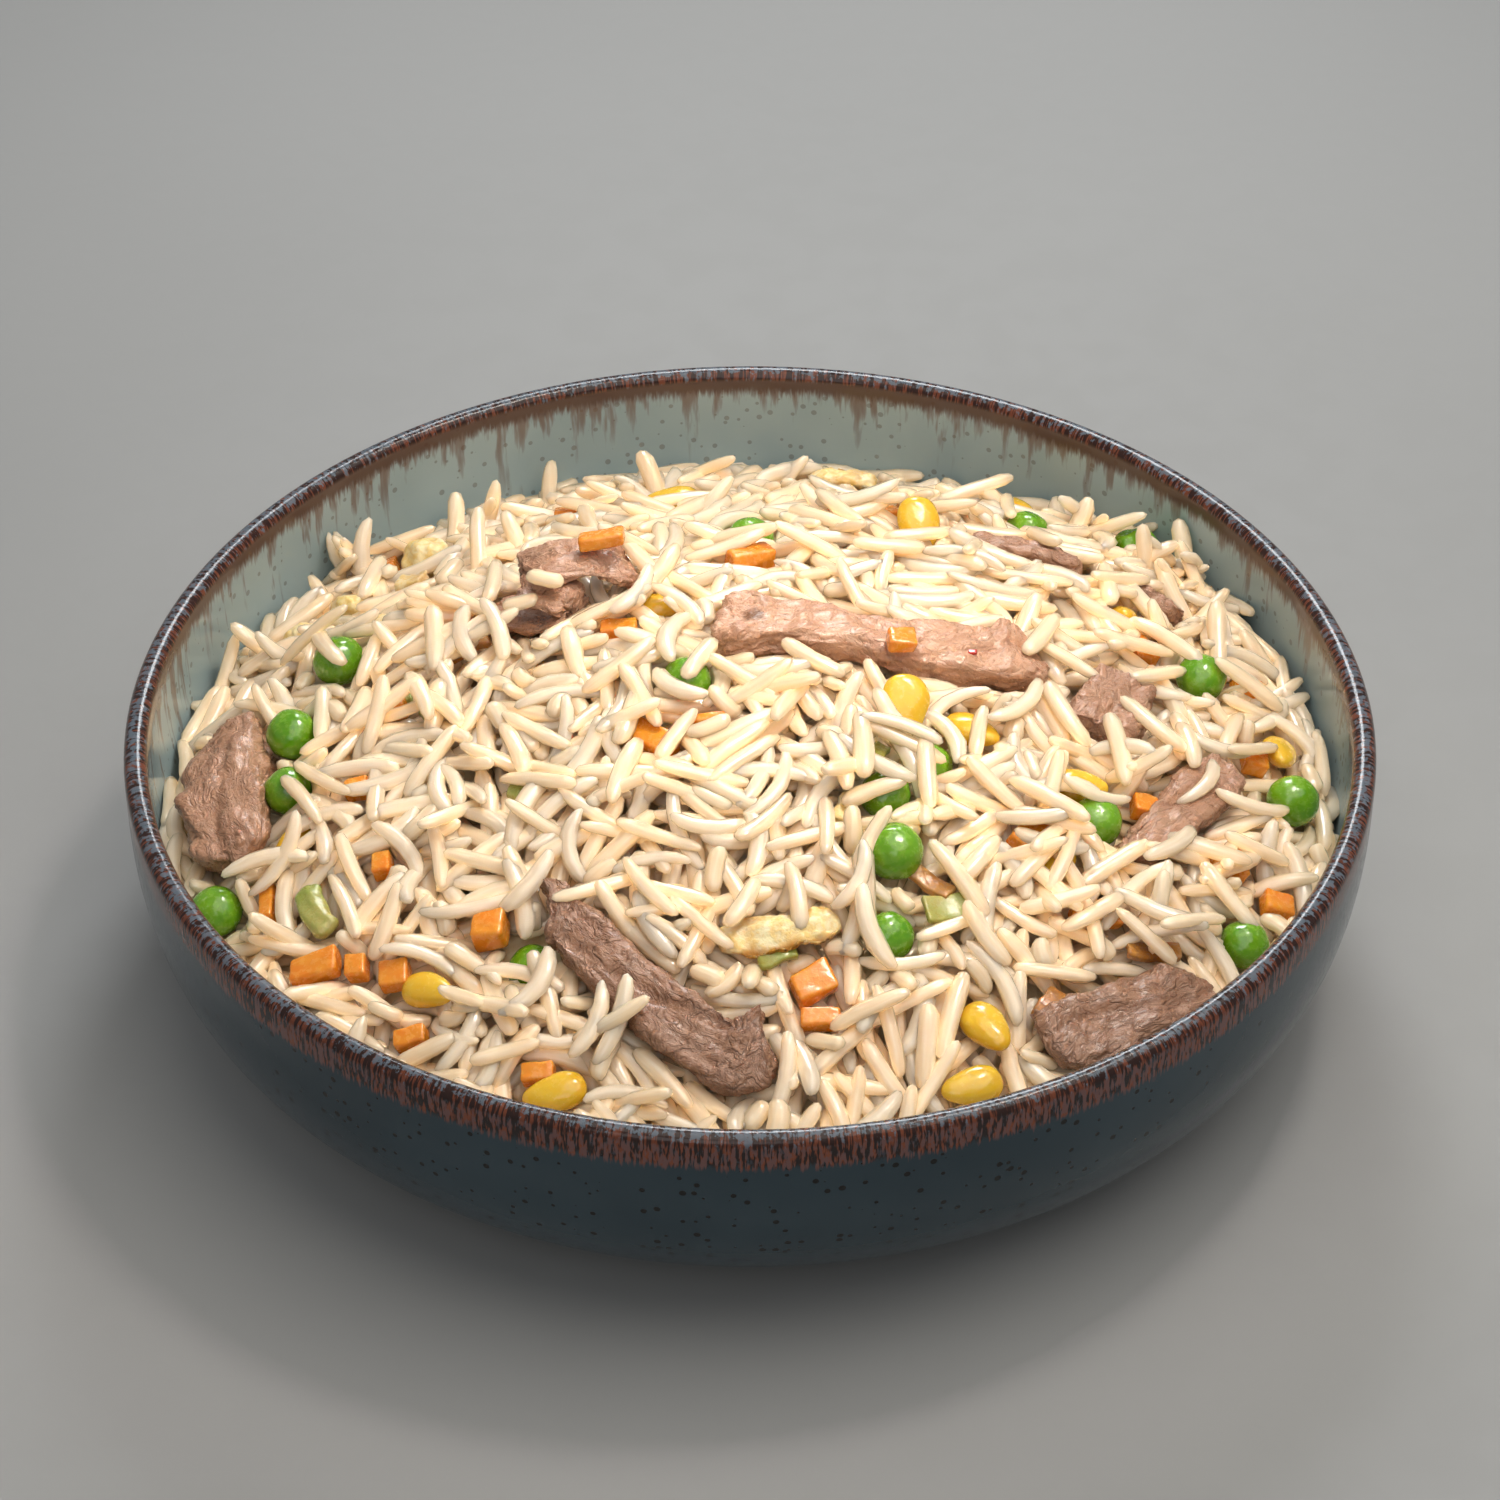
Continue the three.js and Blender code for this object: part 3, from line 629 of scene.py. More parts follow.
leekLooks = {
    "colour": (0.39, 0.34, 0.065), "second": (0.51, 0.43, 0.14), "third": (0.28, 0.33, 0.04),
    "tinted": (0.12, 0.3, 0.02), "blotches": 200.0, "grain": 1200.0, "speckle": 0.4,
    "roughness": (0.25, 0.42), "bump": 0.4, "soft": 0.3, "glow": (0.7, 1.0, 0.3), "coat": 0.3,
}
onionLooks = {
    "colour": (0.42, 0.13, 0.018), "second": (0.56, 0.23, 0.045), "third": (0.24, 0.06, 0.01),
    "tinted": (0.7, 0.42, 0.12), "blotches": 260.0, "grain": 1200.0, "speckle": 0.6,
    "roughness": (0.2, 0.4), "bump": 0.5, "soft": 0.25, "glow": (1.0, 0.5, 0.2), "coat": 0.4,
}
beefSkin = makeBeef()
peaSkin = makeVegetable("peaGreen", peaLooks)
cornSkin = makeVegetable("sweetcornYellow", cornLooks)
carrotSkin = makeVegetable("carrotOrange", carrotLooks)
eggSkin = makeVegetable("eggYellow", eggLooks)
leekSkin = makeVegetable("leekGreen", leekLooks)
onionSkin = makeVegetable("onionBrowned", onionLooks)
report("materials")


# The toppings are each shaped from their own solid.
# Distances over a mesh's edges from one of its points.
def walk(shape, start):
    far = np.full(len(shape.verts), np.inf)
    far[start] = 0
    queue = [(0.0, start)]
    while queue:
        reach, k = heapq.heappop(queue)
        if reach > far[k]:
            continue
        for edge in shape.verts[k].link_edges:
            other = edge.other_vert(shape.verts[k])
            if reach + edge.calc_length() < far[other.index]:
                far[other.index] = reach + edge.calc_length()
                heapq.heappush(queue, (far[other.index], other.index))
    return far


# Place of each point of a strip: how far along it, across it and through it, in metres.
def stripPlaces(shape):
    shape.verts.ensure_lookup_table()
    shape.verts.index_update()
    first = int(np.argmax(walk(shape, 0)))
    fromFirst = walk(shape, first)
    fromLast = walk(shape, int(np.argmax(fromFirst)))
    along = fromFirst / (fromFirst + fromLast) * fromFirst.max()
    points = np.array([vert.co for vert in shape.verts])
    places = np.zeros((len(points), 3))
    sideways = np.zeros((2, len(points), 3))
    last = None
    for k in np.argsort(along):
        near = np.exp(-(((along - along[k]) / strips["sliceReach"]) ** 2))
        centre = (points * near[:, None]).sum(0) / near.sum()
        slope = (points - centre) * (near * (along - along[k]))[:, None]
        tangent = slope.sum(0)
        tangent /= np.linalg.norm(tangent) + 1e-12
        offsets = points - centre
        offsets = offsets - np.outer(offsets @ tangent, tangent)
        spread = (offsets * near[:, None]).T @ offsets
        wide = np.linalg.eigh(spread)[1][:, 2]
        if last is not None and wide @ last < 0:
            wide = -wide
        last = wide
        through = np.cross(tangent, wide)
        places[k] = along[k], offsets[k] @ wide, offsets[k] @ through
        sideways[:, k] = wide, through
    return places, *sideways


strips = {
    "sliceReach": 3.2 * mm,  # how far along a strip its section is averaged
    "fibreWidth": 1.0 * mm,
    "fibreLength": 9 * mm,
    "fibreDepth": 0.26 * mm,
    "wrinkleWidth": 2.4 * mm,
    "wrinkleDepth": 0.3 * mm,
    "cellLength": 3.2 * mm,
    "cellWidth": 1.6 * mm,
    "cellDepth": 0.5 * mm,
    "grooveWander": 11 * mm,  # the groove between two muscles snakes along the strip
    "grooveWidth": 0.8 * mm,
    "grooveDepth": 0.8 * mm,
    "lumpSize": 5.5 * mm,
    "lumpDepth": 1.1 * mm,
    "raggedEnds": 0.7 * mm,
    "raggedEdges": 0.5 * mm,
    "squareness": 4.5,
    "cut": 0.7,  # how sharp the knife's edges are, 0 to 1
    "curled": "beef_2",  # the thin strip that is folded over itself
    "searing": 0.35,
}
# How aslant both ends are cut, and how dark a strip is from 0 to 1: partly the strip's own deeper colour,
# partly painted shade for strips that lie in shadow.
stripSlants = {"beef_1": (0.25, 0.35), "beef_3": (-0.9, 0.9), "beef_4": (0.3, -0.4), "other": (0.4, -0.4)}
stripShades = {"beef_1": 0.0, "beef_2": 0.25, "beef_3": 0.8, "beef_4": 0.35, "beef_7": 0.8, "other": 0.45}


def stripMesh(node, cut=0.0):
    shape = mergedCopy(node)
    creases = shape.edges.layers.float.new("crease_edge")
    for edge in shape.edges:
        edge[creases] = cut * min(1, max(0, math.degrees(edge.calc_face_angle(0)) - 20) / 30)
    for name, values in zip(("stripPlace", "wide", "through"), stripPlaces(shape)):
        layer = shape.verts.layers.float_vector.new(name)
        for vert in shape.verts:
            vert[layer] = values[vert.index]
    return roundedNode(node, shape)


# Gives a strip the flat faces and blunt corners of cut meat, instead of an oval section.
def squared(mesh, places):
    steps = np.rint(places[:, 0] / (0.6 * mm)).astype(int) + 3
    peaks = np.full((steps.max() + 4, 2), 1e-6)
    np.maximum.at(peaks, steps, np.abs(places[:, 1:]))
    peaks = np.maximum.reduce([np.roll(peaks, shift, 0) for shift in range(-3, 4)])
    across, through = places[:, 1] / peaks[steps, 0], places[:, 2] / peaks[steps, 1]
    radius = np.hypot(across, through) + 1e-6
    power = strips["squareness"]
    corner = (np.abs(across / radius) ** power + np.abs(through / radius) ** power) ** (-1 / power)
    grown = np.clip(corner / radius, 1, 1.32) - 1
    grown *= held(radius * 2 - 1)
    move = readAttribute(mesh, "wide") * (places[:, 1] * grown)[:, None]
    move += readAttribute(mesh, "through") * (places[:, 2] * grown)[:, None]
    setPoints(mesh, pointsOf(mesh) + move)


# Cuts both ends of a strip aslant, so that they end in a corner.
def cutEnds(mesh, places, slants):
    onward = np.cross(readAttribute(mesh, "wide"), readAttribute(mesh, "through"))
    reach = np.abs(places[:, 1]).max()
    move = np.zeros(len(places))
    for slant, sign, away in zip(slants, (1, -1), (places[:, 0], places[:, 0].max() - places[:, 0])):
        back = abs(slant) * (reach + np.sign(slant) * places[:, 1])
        move += sign * back * held(1 - away / (2.2 * reach))
    setPoints(mesh, pointsOf(mesh) + onward * move[:, None])


def makeBeefStrip(node, seed):
    mesh = stripMesh(node, strips["cut"] * (0.3 if node == strips["curled"] else 1))
    places = readAttribute(mesh, "stripPlace")
    along, across = places[:, 0], places[:, 1]
    halfWidth = np.abs(across).max()
    if node != strips["curled"]:
        squared(mesh, places)
    points = pointsOf(mesh)
    fibreSize = (strips["fibreLength"], strips["fibreWidth"], strips["fibreWidth"])
    fibres = np.abs(noiseAt(places, fibreSize, seed))
    wrinkles = noiseAt(places, (strips["wrinkleWidth"], 5 * mm, 5 * mm), seed + 7)
    lumps = noiseAt(points, strips["lumpSize"], seed + 3)
    ends = held(1 - np.minimum(along, along.max() - along) / (2.5 * mm))
    ragged = noiseAt(places, (1.2 * mm, 1.6 * mm, 1.6 * mm), seed + 5)
    push = strips["fibreDepth"] * (fibres ** 0.7 - 0.45) * 2 + strips["wrinkleDepth"] * wrinkles
    push += strips["cellDepth"] * (cellsAt(places, seed) - 0.6)
    parting = across - 0.35 * halfWidth * np.sin(along / strips["grooveWander"] + seed)
    push -= strips["grooveDepth"] * np.exp(-((parting / strips["grooveWidth"]) ** 2))
    edges = held(np.abs(across) / (0.5 * halfWidth) - 1)
    push += (strips["raggedEnds"] * ends + strips["raggedEdges"] * edges) * ragged
    pushed(mesh, push + strips["lumpDepth"] * lumps)
    searing = strips["searing"] * (0.5 + 0.5 * noiseAt(points, 7 * mm, seed + 11)) + 0.45 * ends
    addAttribute(mesh, "seared", held(searing))
    addAttribute(mesh, "shade", np.full(len(points), stripShades.get(node, stripShades["other"])))
    cutEnds(mesh, places, stripSlants.get(node, stripSlants["other"]))
    keepInBox(mesh, node)
    return mesh


# The browned spot near the left end of the longest strip.
searedSpot = {"strip": "beef_1", "x": 0.5, "y": 7.0, "radius": 2.2}


def addSearedSpot(mesh):
    away = np.hypot(*(pointsOf(mesh)[:, :2] / mm - (searedSpot["x"], searedSpot["y"])).T)
    layer = mesh.attributes["seared"]
    values = np.empty(len(layer.data))
    layer.data.foreach_get("value", values)
    values = np.maximum(values, np.exp(-((away / searedSpot["radius"]) ** 2)))
    layer.data.foreach_set("value", values.astype(np.float32))


nodeNames = sorted(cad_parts, key=lambda name: (name.split("_")[0], len(name), name))


# The nodes of a kind, each with its number.
def numbered(kind):
    return [(int(name.split("_")[1]), name) for name in nodeNames if name.startswith(kind + "_")]


def finishTopping(mesh, tint, name, slot, material, node, most=1.0):
    addAttribute(mesh, "tint", tint)
    keepInBox(mesh, node, most)
    markTopping(mesh)
    addPiece(mesh, name, slot, material, node)


for k, node in numbered("beef"):
    mesh = makeBeefStrip(node, 13.7 * k)
    if node == searedSpot["strip"]:
        addSearedSpot(mesh)
    markTopping(mesh)
    addPiece(mesh, f"beefStrip{k}", "beef", beefSkin, node)
report("beef")

peas = {"dents": 0.22 * mm, "dentSize": 3.4 * mm, "creases": 0.1 * mm, "split": 8, "tear": 0.9 * mm}
for k, node in numbered("pea"):
    mesh = roundedNode(node)
    points = pointsOf(mesh)
    dents = noiseAt(points, peas["dentSize"], 5.3 * k)
    creases = np.abs(noiseAt(points, 1.7 * mm, 2.9 * k)) ** 0.6
    pushed(mesh, peas["dents"] * (dents - 0.2) + peas["creases"] * (creases - 0.7))
    if k == peas["split"]:  # its skin stands up in a point on one side
        low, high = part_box(node)
        peak = held((points[:, 2] - (low.z + high.z) / 2) / (high.z - low.z) * 2)
        pushed(mesh, peas["tear"] * peak * noiseAt(points, 2.2 * mm, 4.0))
    tint = held(0.35 + 0.5 * noiseAt(points, 4 * mm, k * 1.7)) * 0.6
    finishTopping(mesh, tint, f"pea{k}", "pea", peaSkin, node)

corn = {"dent": 0.55 * mm, "dentSize": 2.6 * mm, "wobble": 0.18 * mm, "plump": 1.2}
for k, node in numbered("corn"):
    mesh = roundedNode(node)
    points = pointsOf(mesh)
    low, high = (np.array(corner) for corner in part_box(node))
    middle = (low + high) / 2
    away = np.linalg.norm(points - middle - (0, 0, (high - middle)[2]), axis=1)
    dent = np.exp(-((away / corn["dentSize"]) ** 2)) * corn["dent"] * (0.3 if k > 2 else 0.8)
    pushed(mesh, corn["wobble"] * noiseAt(points, 4 * mm, 3.1 * k) - dent)
    ends = np.linalg.norm(points - middle, axis=1) / (5 * mm)
    tint = held(ends - 0.75 + 0.3 * noiseAt(points, 3 * mm, k)) * 0.7
    finishTopping(mesh, tint, f"kernel{k}", "sweetcorn", cornSkin, node, corn["plump"])
report("peas and sweetcorn")

carrots = {"bevel": 0.55 * mm, "roughness": 0.12 * mm, "cuts": 7}


def roundedBlock(shape, bevel, cuts):
    # a knife-cut block with softened edges and enough points for relief
    bmesh.ops.dissolve_limit(shape, angle_limit=math.radians(4), verts=shape.verts[:], edges=shape.edges[:])
    sharp = [edge for edge in shape.edges if edge.calc_face_angle(0) > math.radians(30)]
    bmesh.ops.bevel(
        shape, geom=sharp, offset=bevel, offset_type="OFFSET", affect="EDGES", segments=3, profile=0.5,
        material=-1,
    )
    bmesh.ops.triangulate(shape, faces=[face for face in shape.faces if len(face.verts) > 4])
    long = [edge for edge in shape.edges if edge.calc_length() > 1.2 * bevel]
    bmesh.ops.subdivide_edges(shape, edges=long, cuts=cuts, use_grid_fill=True)
    bmesh.ops.triangulate(shape, faces=shape.faces[:])
    bmesh.ops.recalc_face_normals(shape, faces=shape.faces[:])
    return shape


for k, node in numbered("carrot"):
    mesh = meshOf(roundedBlock(mergedCopy(node), carrots["bevel"], carrots["cuts"]), node)
    points = pointsOf(mesh)
    grain = noiseAt(points, 1.6 * mm, 3.3 * k) + 0.6 * noiseAt(points, 0.8 * mm, 3.3 * k)
    pushed(mesh, carrots["roughness"] * grain)
    tint = held(0.4 + noiseAt(points, 5 * mm, 3.3 * k)) * 0.5
    finishTopping(mesh, tint, f"carrotDice{k}", "carrot", carrotSkin, node)

curds = {"lumps": 0.55 * mm, "pores": 0.22 * mm}
for k, node in numbered("egg"):
    mesh = roundedNode(node)
    points = pointsOf(mesh)
    push = curds["lumps"] * noiseAt(points, 2.4 * mm, 2.1 * k)
    pushed(mesh, push + curds["pores"] * noiseAt(points, 0.9 * mm, k))
    tint = held(noiseAt(points, 4 * mm, 1.9 * k) - 0.25)
    finishTopping(mesh, tint, f"eggCurd{k}", "egg", eggSkin, node)

ribbons = {
    "crinkle": 0.45 * mm, "crinkleSize": 2.2 * mm, "pores": 0.25 * mm, "thinning": 0.75, "ruffle": 1.9 * mm,
    "browned": 0.15,
}
for k, node in numbered("omelette"):
    mesh = stripMesh(node)
    places = readAttribute(mesh, "stripPlace")
    push = ribbons["crinkle"] * noiseAt(places, (ribbons["crinkleSize"], 3 * mm, 3 * mm), 4.7 * k)
    edge = np.abs(places[:, 1]) / np.abs(places[:, 1]).max()
    upright = pointsOf(mesh, "normal")[:, 2]
    points = pointsOf(mesh)
    points[:, 2] -= ribbons["thinning"] * np.abs(places[:, 2]) * np.sign(upright) * edge
    points[:, 2] += ribbons["ruffle"] * edge ** 2 * noiseAt(places, (2.6 * mm, 8 * mm, 50 * mm), 9.1 * k)
    setPoints(mesh, points)
    pushed(mesh, push + ribbons["pores"] * noiseAt(places, 0.8 * mm, k))
    browned = ribbons["browned"] + held(edge * 2.2 - 1.1) + 0.6 * noiseAt(places, 3 * mm, k)
    finishTopping(mesh, held(browned), f"omelette{k}", "egg", eggSkin, node)

leeks = {"veinPitch": 0.42 * mm, "veins": 0.1 * mm, "waves": 0.2 * mm}
for _, node in numbered("leek"):
    mesh = stripMesh(node)
    places = readAttribute(mesh, "stripPlace")
    veins = np.sin(places[:, 1] / leeks["veinPitch"]) * leeks["veins"]
    pushed(mesh, veins + leeks["waves"] * noiseAt(places, 3 * mm, 2.0))
    tint = held(places[:, 0] / places[:, 0].max() * 0.8 - 0.2)
    finishTopping(mesh, tint, "leekStrip", "leek", leekSkin, node)
report("carrot, egg and leek")

# Scraps that peep out of the rice: x, y, lift over the bare core, heading, length, width, height.
scraps = [  # of carrot; only x, y, length and width differ
    (x, y, 1, 0, length, width, 3) for x, y, length, width in (
        (-6.5, -14.5, 5.4, 1.8), (10.5, -69.5, 6, 3), (-48.5, 18, 6, 5), (-21, 9.5, 6, 3.6), (-57, 1.5, 4, 3),
        (-62, 57, 3.4, 5), (-31.5, 65.5, 4, 3.4), (-57, -33.5, 3, 4), (62, -20, 4, 4), (75, -27, 6.4, 5),
        (-54, -55.5, 4.6, 4.6), (-75, -35, 2.4, 7), (81.5, 0, 4, 4), (82.5, -32.5, 5, 4), (-31.5, -76, 5, 3),
        (-60, -52.5, 3.4, 4), (15, 51, 3, 3), (82, 20.5, 5, 3.4), (-51, -67, 5, 3), (-62, -15.5, 4, 3),
    )
]
onionBits = [
    (-45.5, 12.5, 1.6, 20, 7, 3.6, 1.5), (61.5, -50, 1.8, 10, 9, 3.2, 1.4), (28, 63, 2.6, -25, 6, 3, 1.4),
    (27, -45, 1.4, -35, 9, 3.0, 1.3), (45, -63, 1.6, 60, 6, 3, 1.3),
]
greenBits = [
    (4, -59.5, 1.4, 20, 6, 3.4, 1.4), (30, -50, 1.8, 15, 7.5, 4.6, 1.4), (-36, -24, 1.0, 50, 4, 2.4, 1.2),
    (-56, 4, 0.8, 0, 4, 3, 1.2), (-51, -1, 1.0, 30, 4, 2.4, 1.2), (30.5, 38, 1.0, 10, 4, 3, 1.4),
    (19.5, -21, 1.2, 60, 6, 2.6, 1.2), (-12, -50, 0.8, 20, 4, 2.4, 1.2),
]
eggBits = [
    (-61.5, 29, 1.6, 30, 5, 4, 2.2), (-57, 45, 1.2, -20, 5, 4, 2), (-12, -49, 1.0, 10, 5, 3, 1.6),
    (14.5, -33, 1.0, 70, 6, 3, 1.6), (42, 36, 1.2, 20, 5, 4, 2),
]


bitForm = {"bevel": 0.45, "cuts": 4, "waver": 0.5}


def seatOn(x, y, lift, heading):
    # a place on the heap's slope, in metres
    step = 2.0
    slopeX = float(heapHeight(x + step, y) - heapHeight(x - step, y)) / (2 * step)
    slopeY = float(heapHeight(x, y + step) - heapHeight(x, y - step)) / (2 * step)
    normal = Vector((-slopeX, -slopeY, 1)).normalized()
    lean = Vector((0, 0, 1)).rotation_difference(normal).to_matrix().to_4x4()
    place = Vector((x, y, float(heapHeight(x, y)) + lift)) * mm
    return Matrix.Translation(place) @ lean @ Matrix.Rotation(math.radians(heading), 4, "Z")


def block(bits, bend):
    whole = bmesh.new()
    for k, (x, y, lift, heading, length, width, height) in enumerate(bits):
        shape = bmesh.new()
        size = Matrix.Diagonal((length * mm, width * mm, height * mm, 1))
        bmesh.ops.create_cube(shape, size=1, matrix=size)
        roundedBlock(shape, min(bitForm["bevel"], height * 0.3) * mm, bitForm["cuts"])
        for vert in shape.verts:
            share = vert.co.x / (length * mm / 2)
            vert.co.z += bend * mm * (share ** 2 - 0.4) * (1 if k % 2 else -0.6)
            vert.co.y += bitForm["waver"] * mm * noise.noise(Vector((vert.co.x / (3 * mm), k * 2.7, 0)))
        shape.transform(seatOn(x, y, lift, heading))
        part = meshOf(shape, "bit")
        whole.from_mesh(part)
        bpy.data.meshes.remove(part)
    return whole


def addBits(bits, name, slot, material, seed, relief, bend, *nodes):
    mesh = meshOf(block(bits, bend), name)
    points = pointsOf(mesh)
    pushed(mesh, relief * mm * (noiseAt(points, 1.5 * mm, seed) + 0.5 * noiseAt(points, 0.7 * mm, seed)))
    addAttribute(mesh, "tint", held(0.35 + noiseAt(points, 4 * mm, seed)) * 0.5)
    markTopping(mesh)
    addPiece(mesh, name, slot, material, *nodes)


addBits(scraps, "carrotScraps", "carrot", carrotSkin, 1.0, 0.12, 0.0, "rice_heap")
addBits(onionBits, "onionBits", "carrot", onionSkin, 2.0, 0.25, 1.0)
addBits(greenBits, "greenBits", "leek", leekSkin, 3.0, 0.15, 0.7)
addBits(eggBits, "eggBits", "egg", eggSkin, 4.0, 0.35, 0.5)
report("scraps")

# The rice: grains laid one by one on what lies under them.
rice = {
    "length": (11.8, 16.4),
    "width": (2.55, 3.4),
    "thickness": 0.7,  # share of the width
    "curved": (0.9, 2.5),
    "straight": 0.6,
    "short": (4.5, 8.0),
    "curvedShare": 0.4,
    "shortShare": 0.1,
    "sink": 0.3,
    "softness": 0.85,  # share of the room under a grain that it sinks into
    "deepest": 1.4,  # and how far it may sink into what it rests on
    "cover": 1.7,  # mean top of the grains over the bare core
    "unevenness": 0.9,
    "steepest": 0.95,
    "highest": 1.0,  # over the wanted top, where a grain may still be laid
    "tries": 6,
    "aligned": 0.65,  # share of grains that lie the way their neighbours do
    "rounds": 260,
    "perRound": 60,
    "rimGap": 4.6,  # how far a grain's ends stay inside the bowl's radius
    "stray": 0.35,  # how far aligned grains turn from their neighbours
    "overhang": 1.6,  # how close under a topping grains may still fill up
    "laneWidth": 0.22,  # of the three lines along a grain where it can touch
    "topGap": 0.1,
    "fuller": 0.14,  # how much one end is fuller than the other
    "arched": 0.25,
    "rings": 7,
    "sides": 7,
    "seed": 5,
}
draw = np.random.default_rng(rice["seed"])
stations = np.linspace(-0.94, 0.94, 9)
grains = []


def girth(share):
    # how thick a grain is along it, 1 at its middle
    return held(1 - np.abs(share) ** 5) ** 0.5


def bow(share):
    # how far a bent grain is from its straight line, as a share of its bend
    return share ** 2 - 0.4


def newGrain(kind):
    low, high = rice["short"] if kind == 2 else rice["length"]
    length = draw.uniform(low, high)
    bend = draw.uniform(*(rice["curved"] if kind == 1 else (0, rice["straight"])))
    width = draw.uniform(*rice["width"])
    return {"kind": kind, "length": length, "width": width, "bend": bend * draw.choice((-1, 1))}


# Rests a grain at each of several places and turns, and gives its heights, slopes and free places.
def rest(grain, x, y, azimuth, base):
    reach = grain["length"] / 2 * stations
    side = grain["bend"] * bow(stations)
    cos, sin = np.cos(azimuth)[:, None], np.sin(azimuth)[:, None]
    lanes = np.array((-1, 0, 1)) * rice["laneWidth"] * grain["width"]
    aside = (side[:, None] + lanes)[None]
    px = x[:, None, None] + reach[None, :, None] * cos[..., None] - aside * sin[..., None]
    py = y[:, None, None] + reach[None, :, None] * sin[..., None] + aside * cos[..., None]
    cells = cellOf(px), cellOf(py)
    thick = grain["width"] * rice["thickness"] / 2 * girth(stations)
    under = base[cells].max(-1) + thick - rice["sink"]
    # it lies on the pair of touching points, one in each half, that holds its middle highest
    left, right = under[:, :4, None], under[:, None, 5:]
    reachLeft, reachRight = reach[:4, None], reach[None, 5:]
    best = ((left * reachRight - right * reachLeft) / (reachRight - reachLeft)).reshape(len(x), -1).argmax(1)
    slopes = ((right - left) / (reachRight - reachLeft)).reshape(len(x), -1)[np.arange(len(x)), best]
    slopes = np.clip(slopes, -rice["steepest"], rice["steepest"])
    heights = (under - slopes[:, None] * reach).max(1)
    room = (heights[:, None] + slopes[:, None] * reach - under).mean(1)
    heights = heights - np.minimum(rice["softness"] * room, rice["deepest"])
    line = heights[:, None] + slopes[:, None] * reach
    above = line - thick > toppingTop[cells].max(-1) - rice["topGap"]
    below = line + thick < toppingBottom[cells].min(-1) + rice["topGap"]
    inside = np.hypot(px, py).max((1, 2)) < half - rice["rimGap"]
    return heights, slopes, (above | below).all(1) & inside


def layGrain(grain, x, y, azimuth, height, slope, mark=True):
    grain.update(x=x, y=y, azimuth=azimuth, height=height, slope=slope)
    grains.append(grain)
    if not mark:
        return
    reach = grain["length"] / 2 + 1
    rows = slice(*(cellOf(np.array((x - reach, x + reach))) + (0, 1)))
    columns = slice(*(cellOf(np.array((y - reach, y + reach))) + (0, 1)))
    dx, dy = gridX[rows, columns] - x, gridY[rows, columns] - y
    along = dx * math.cos(azimuth) + dy * math.sin(azimuth)
    share = along / (grain["length"] / 2)
    across = -dx * math.sin(azimuth) + dy * math.cos(azimuth) - grain["bend"] * bow(share)
    wide = np.maximum(1e-6, girth(share)) * grain["width"] / 2
    inner = 1 - (across / wide) ** 2
    top = height + slope * along + wide * rice["thickness"] * np.sqrt(held(inner))
    region = support[rows, columns]
    region[inner > 0] = np.maximum(region, top)[inner > 0]


# Smooth noise over the grid with features of that size in mm, worked out at every eighth cell.
def gridNoise(size, layer):
    values = np.array([[noise.noise(Vector((x, y, layer)) / size) for y in ticks[::8]] for x in ticks[::8]])
    fine = (np.arange(len(ticks)) / 8).clip(0, len(values) - 1.001)
    low = fine.astype(int)
    part = fine - low
    rows = values[low] * (1 - part)[:, None] + values[low + 1] * part[:, None]
    return rows[:, low] * (1 - part) + rows[:, low + 1] * part


riceTop = wanted + rice["cover"] + rice["unevenness"] * gridNoise(13, 0)
trend = 5 * gridNoise(24, 90)  # the heading that grains have in common
openCells = (np.hypot(gridX, gridY) < half - 5.5) & (wallHeight < riceTop - 0.5)


# A running sum over the cells of the room that is left under the wanted top.
def placesToFill():
    gap = np.where(openCells, riceTop - support - 0.2, 0)
    gap = np.where((toppingBottom < riceTop) & (support > toppingBottom - rice["overhang"]), 0, gap)
    return np.cumsum(np.clip(gap, 0, 3).ravel() ** 1.5)


for _ in range(rice["rounds"]):
    total = placesToFill()
    for _ in range(rice["perRound"]):
        kind = 2 if draw.random() < rice["shortShare"] else int(draw.random() < rice["curvedShare"])
        grain = newGrain(kind)
        picks = np.searchsorted(total, draw.random(rice["tries"]) * total[-1])
        x = gridX.ravel()[picks] + draw.uniform(-0.4, 0.4, rice["tries"])
        y = gridY.ravel()[picks] + draw.uniform(-0.4, 0.4, rice["tries"])
        azimuth = draw.uniform(0, 2 * math.pi, rice["tries"])
        if draw.random() < rice["aligned"]:
            azimuth = trend[cellOf(x), cellOf(y)] + draw.normal(0, rice["stray"], rice["tries"])
        heights, slopes, free = rest(grain, x, y, azimuth, support)
        excess = heights - riceTop[cellOf(x), cellOf(y)]
        free &= excess < rice["highest"]
        if not free.any():
            continue
        k = int(np.where(free, excess, 99).argmin())
        layGrain(grain, x[k], y[k], azimuth[k], heights[k], slopes[k])
report(f"{len(grains)} grains laid, {total[-1]:.0f} left open")

# Grains that stand up out of the heap: some all over it, and some in named places at its edge.
standing = {"count": 110, "tilt": (14, 38), "sunk": 0.46, "highest": 66.5, "thick": 1.6, "wallGap": 0.8}
clumps = [  # x, y, how many, spread, tilt
    (-65, 58, 9, 4.0, 55), (-46, 70, 2, 2.0, 70), (73, 54, 8, 6.0, 45), (-86, -4, 1, 0.5, 60),
    (64, 66, 5, 5.0, 40), (-80, 30, 4, 5.0, 25), (4, 84, 3, 8.0, 28),
]


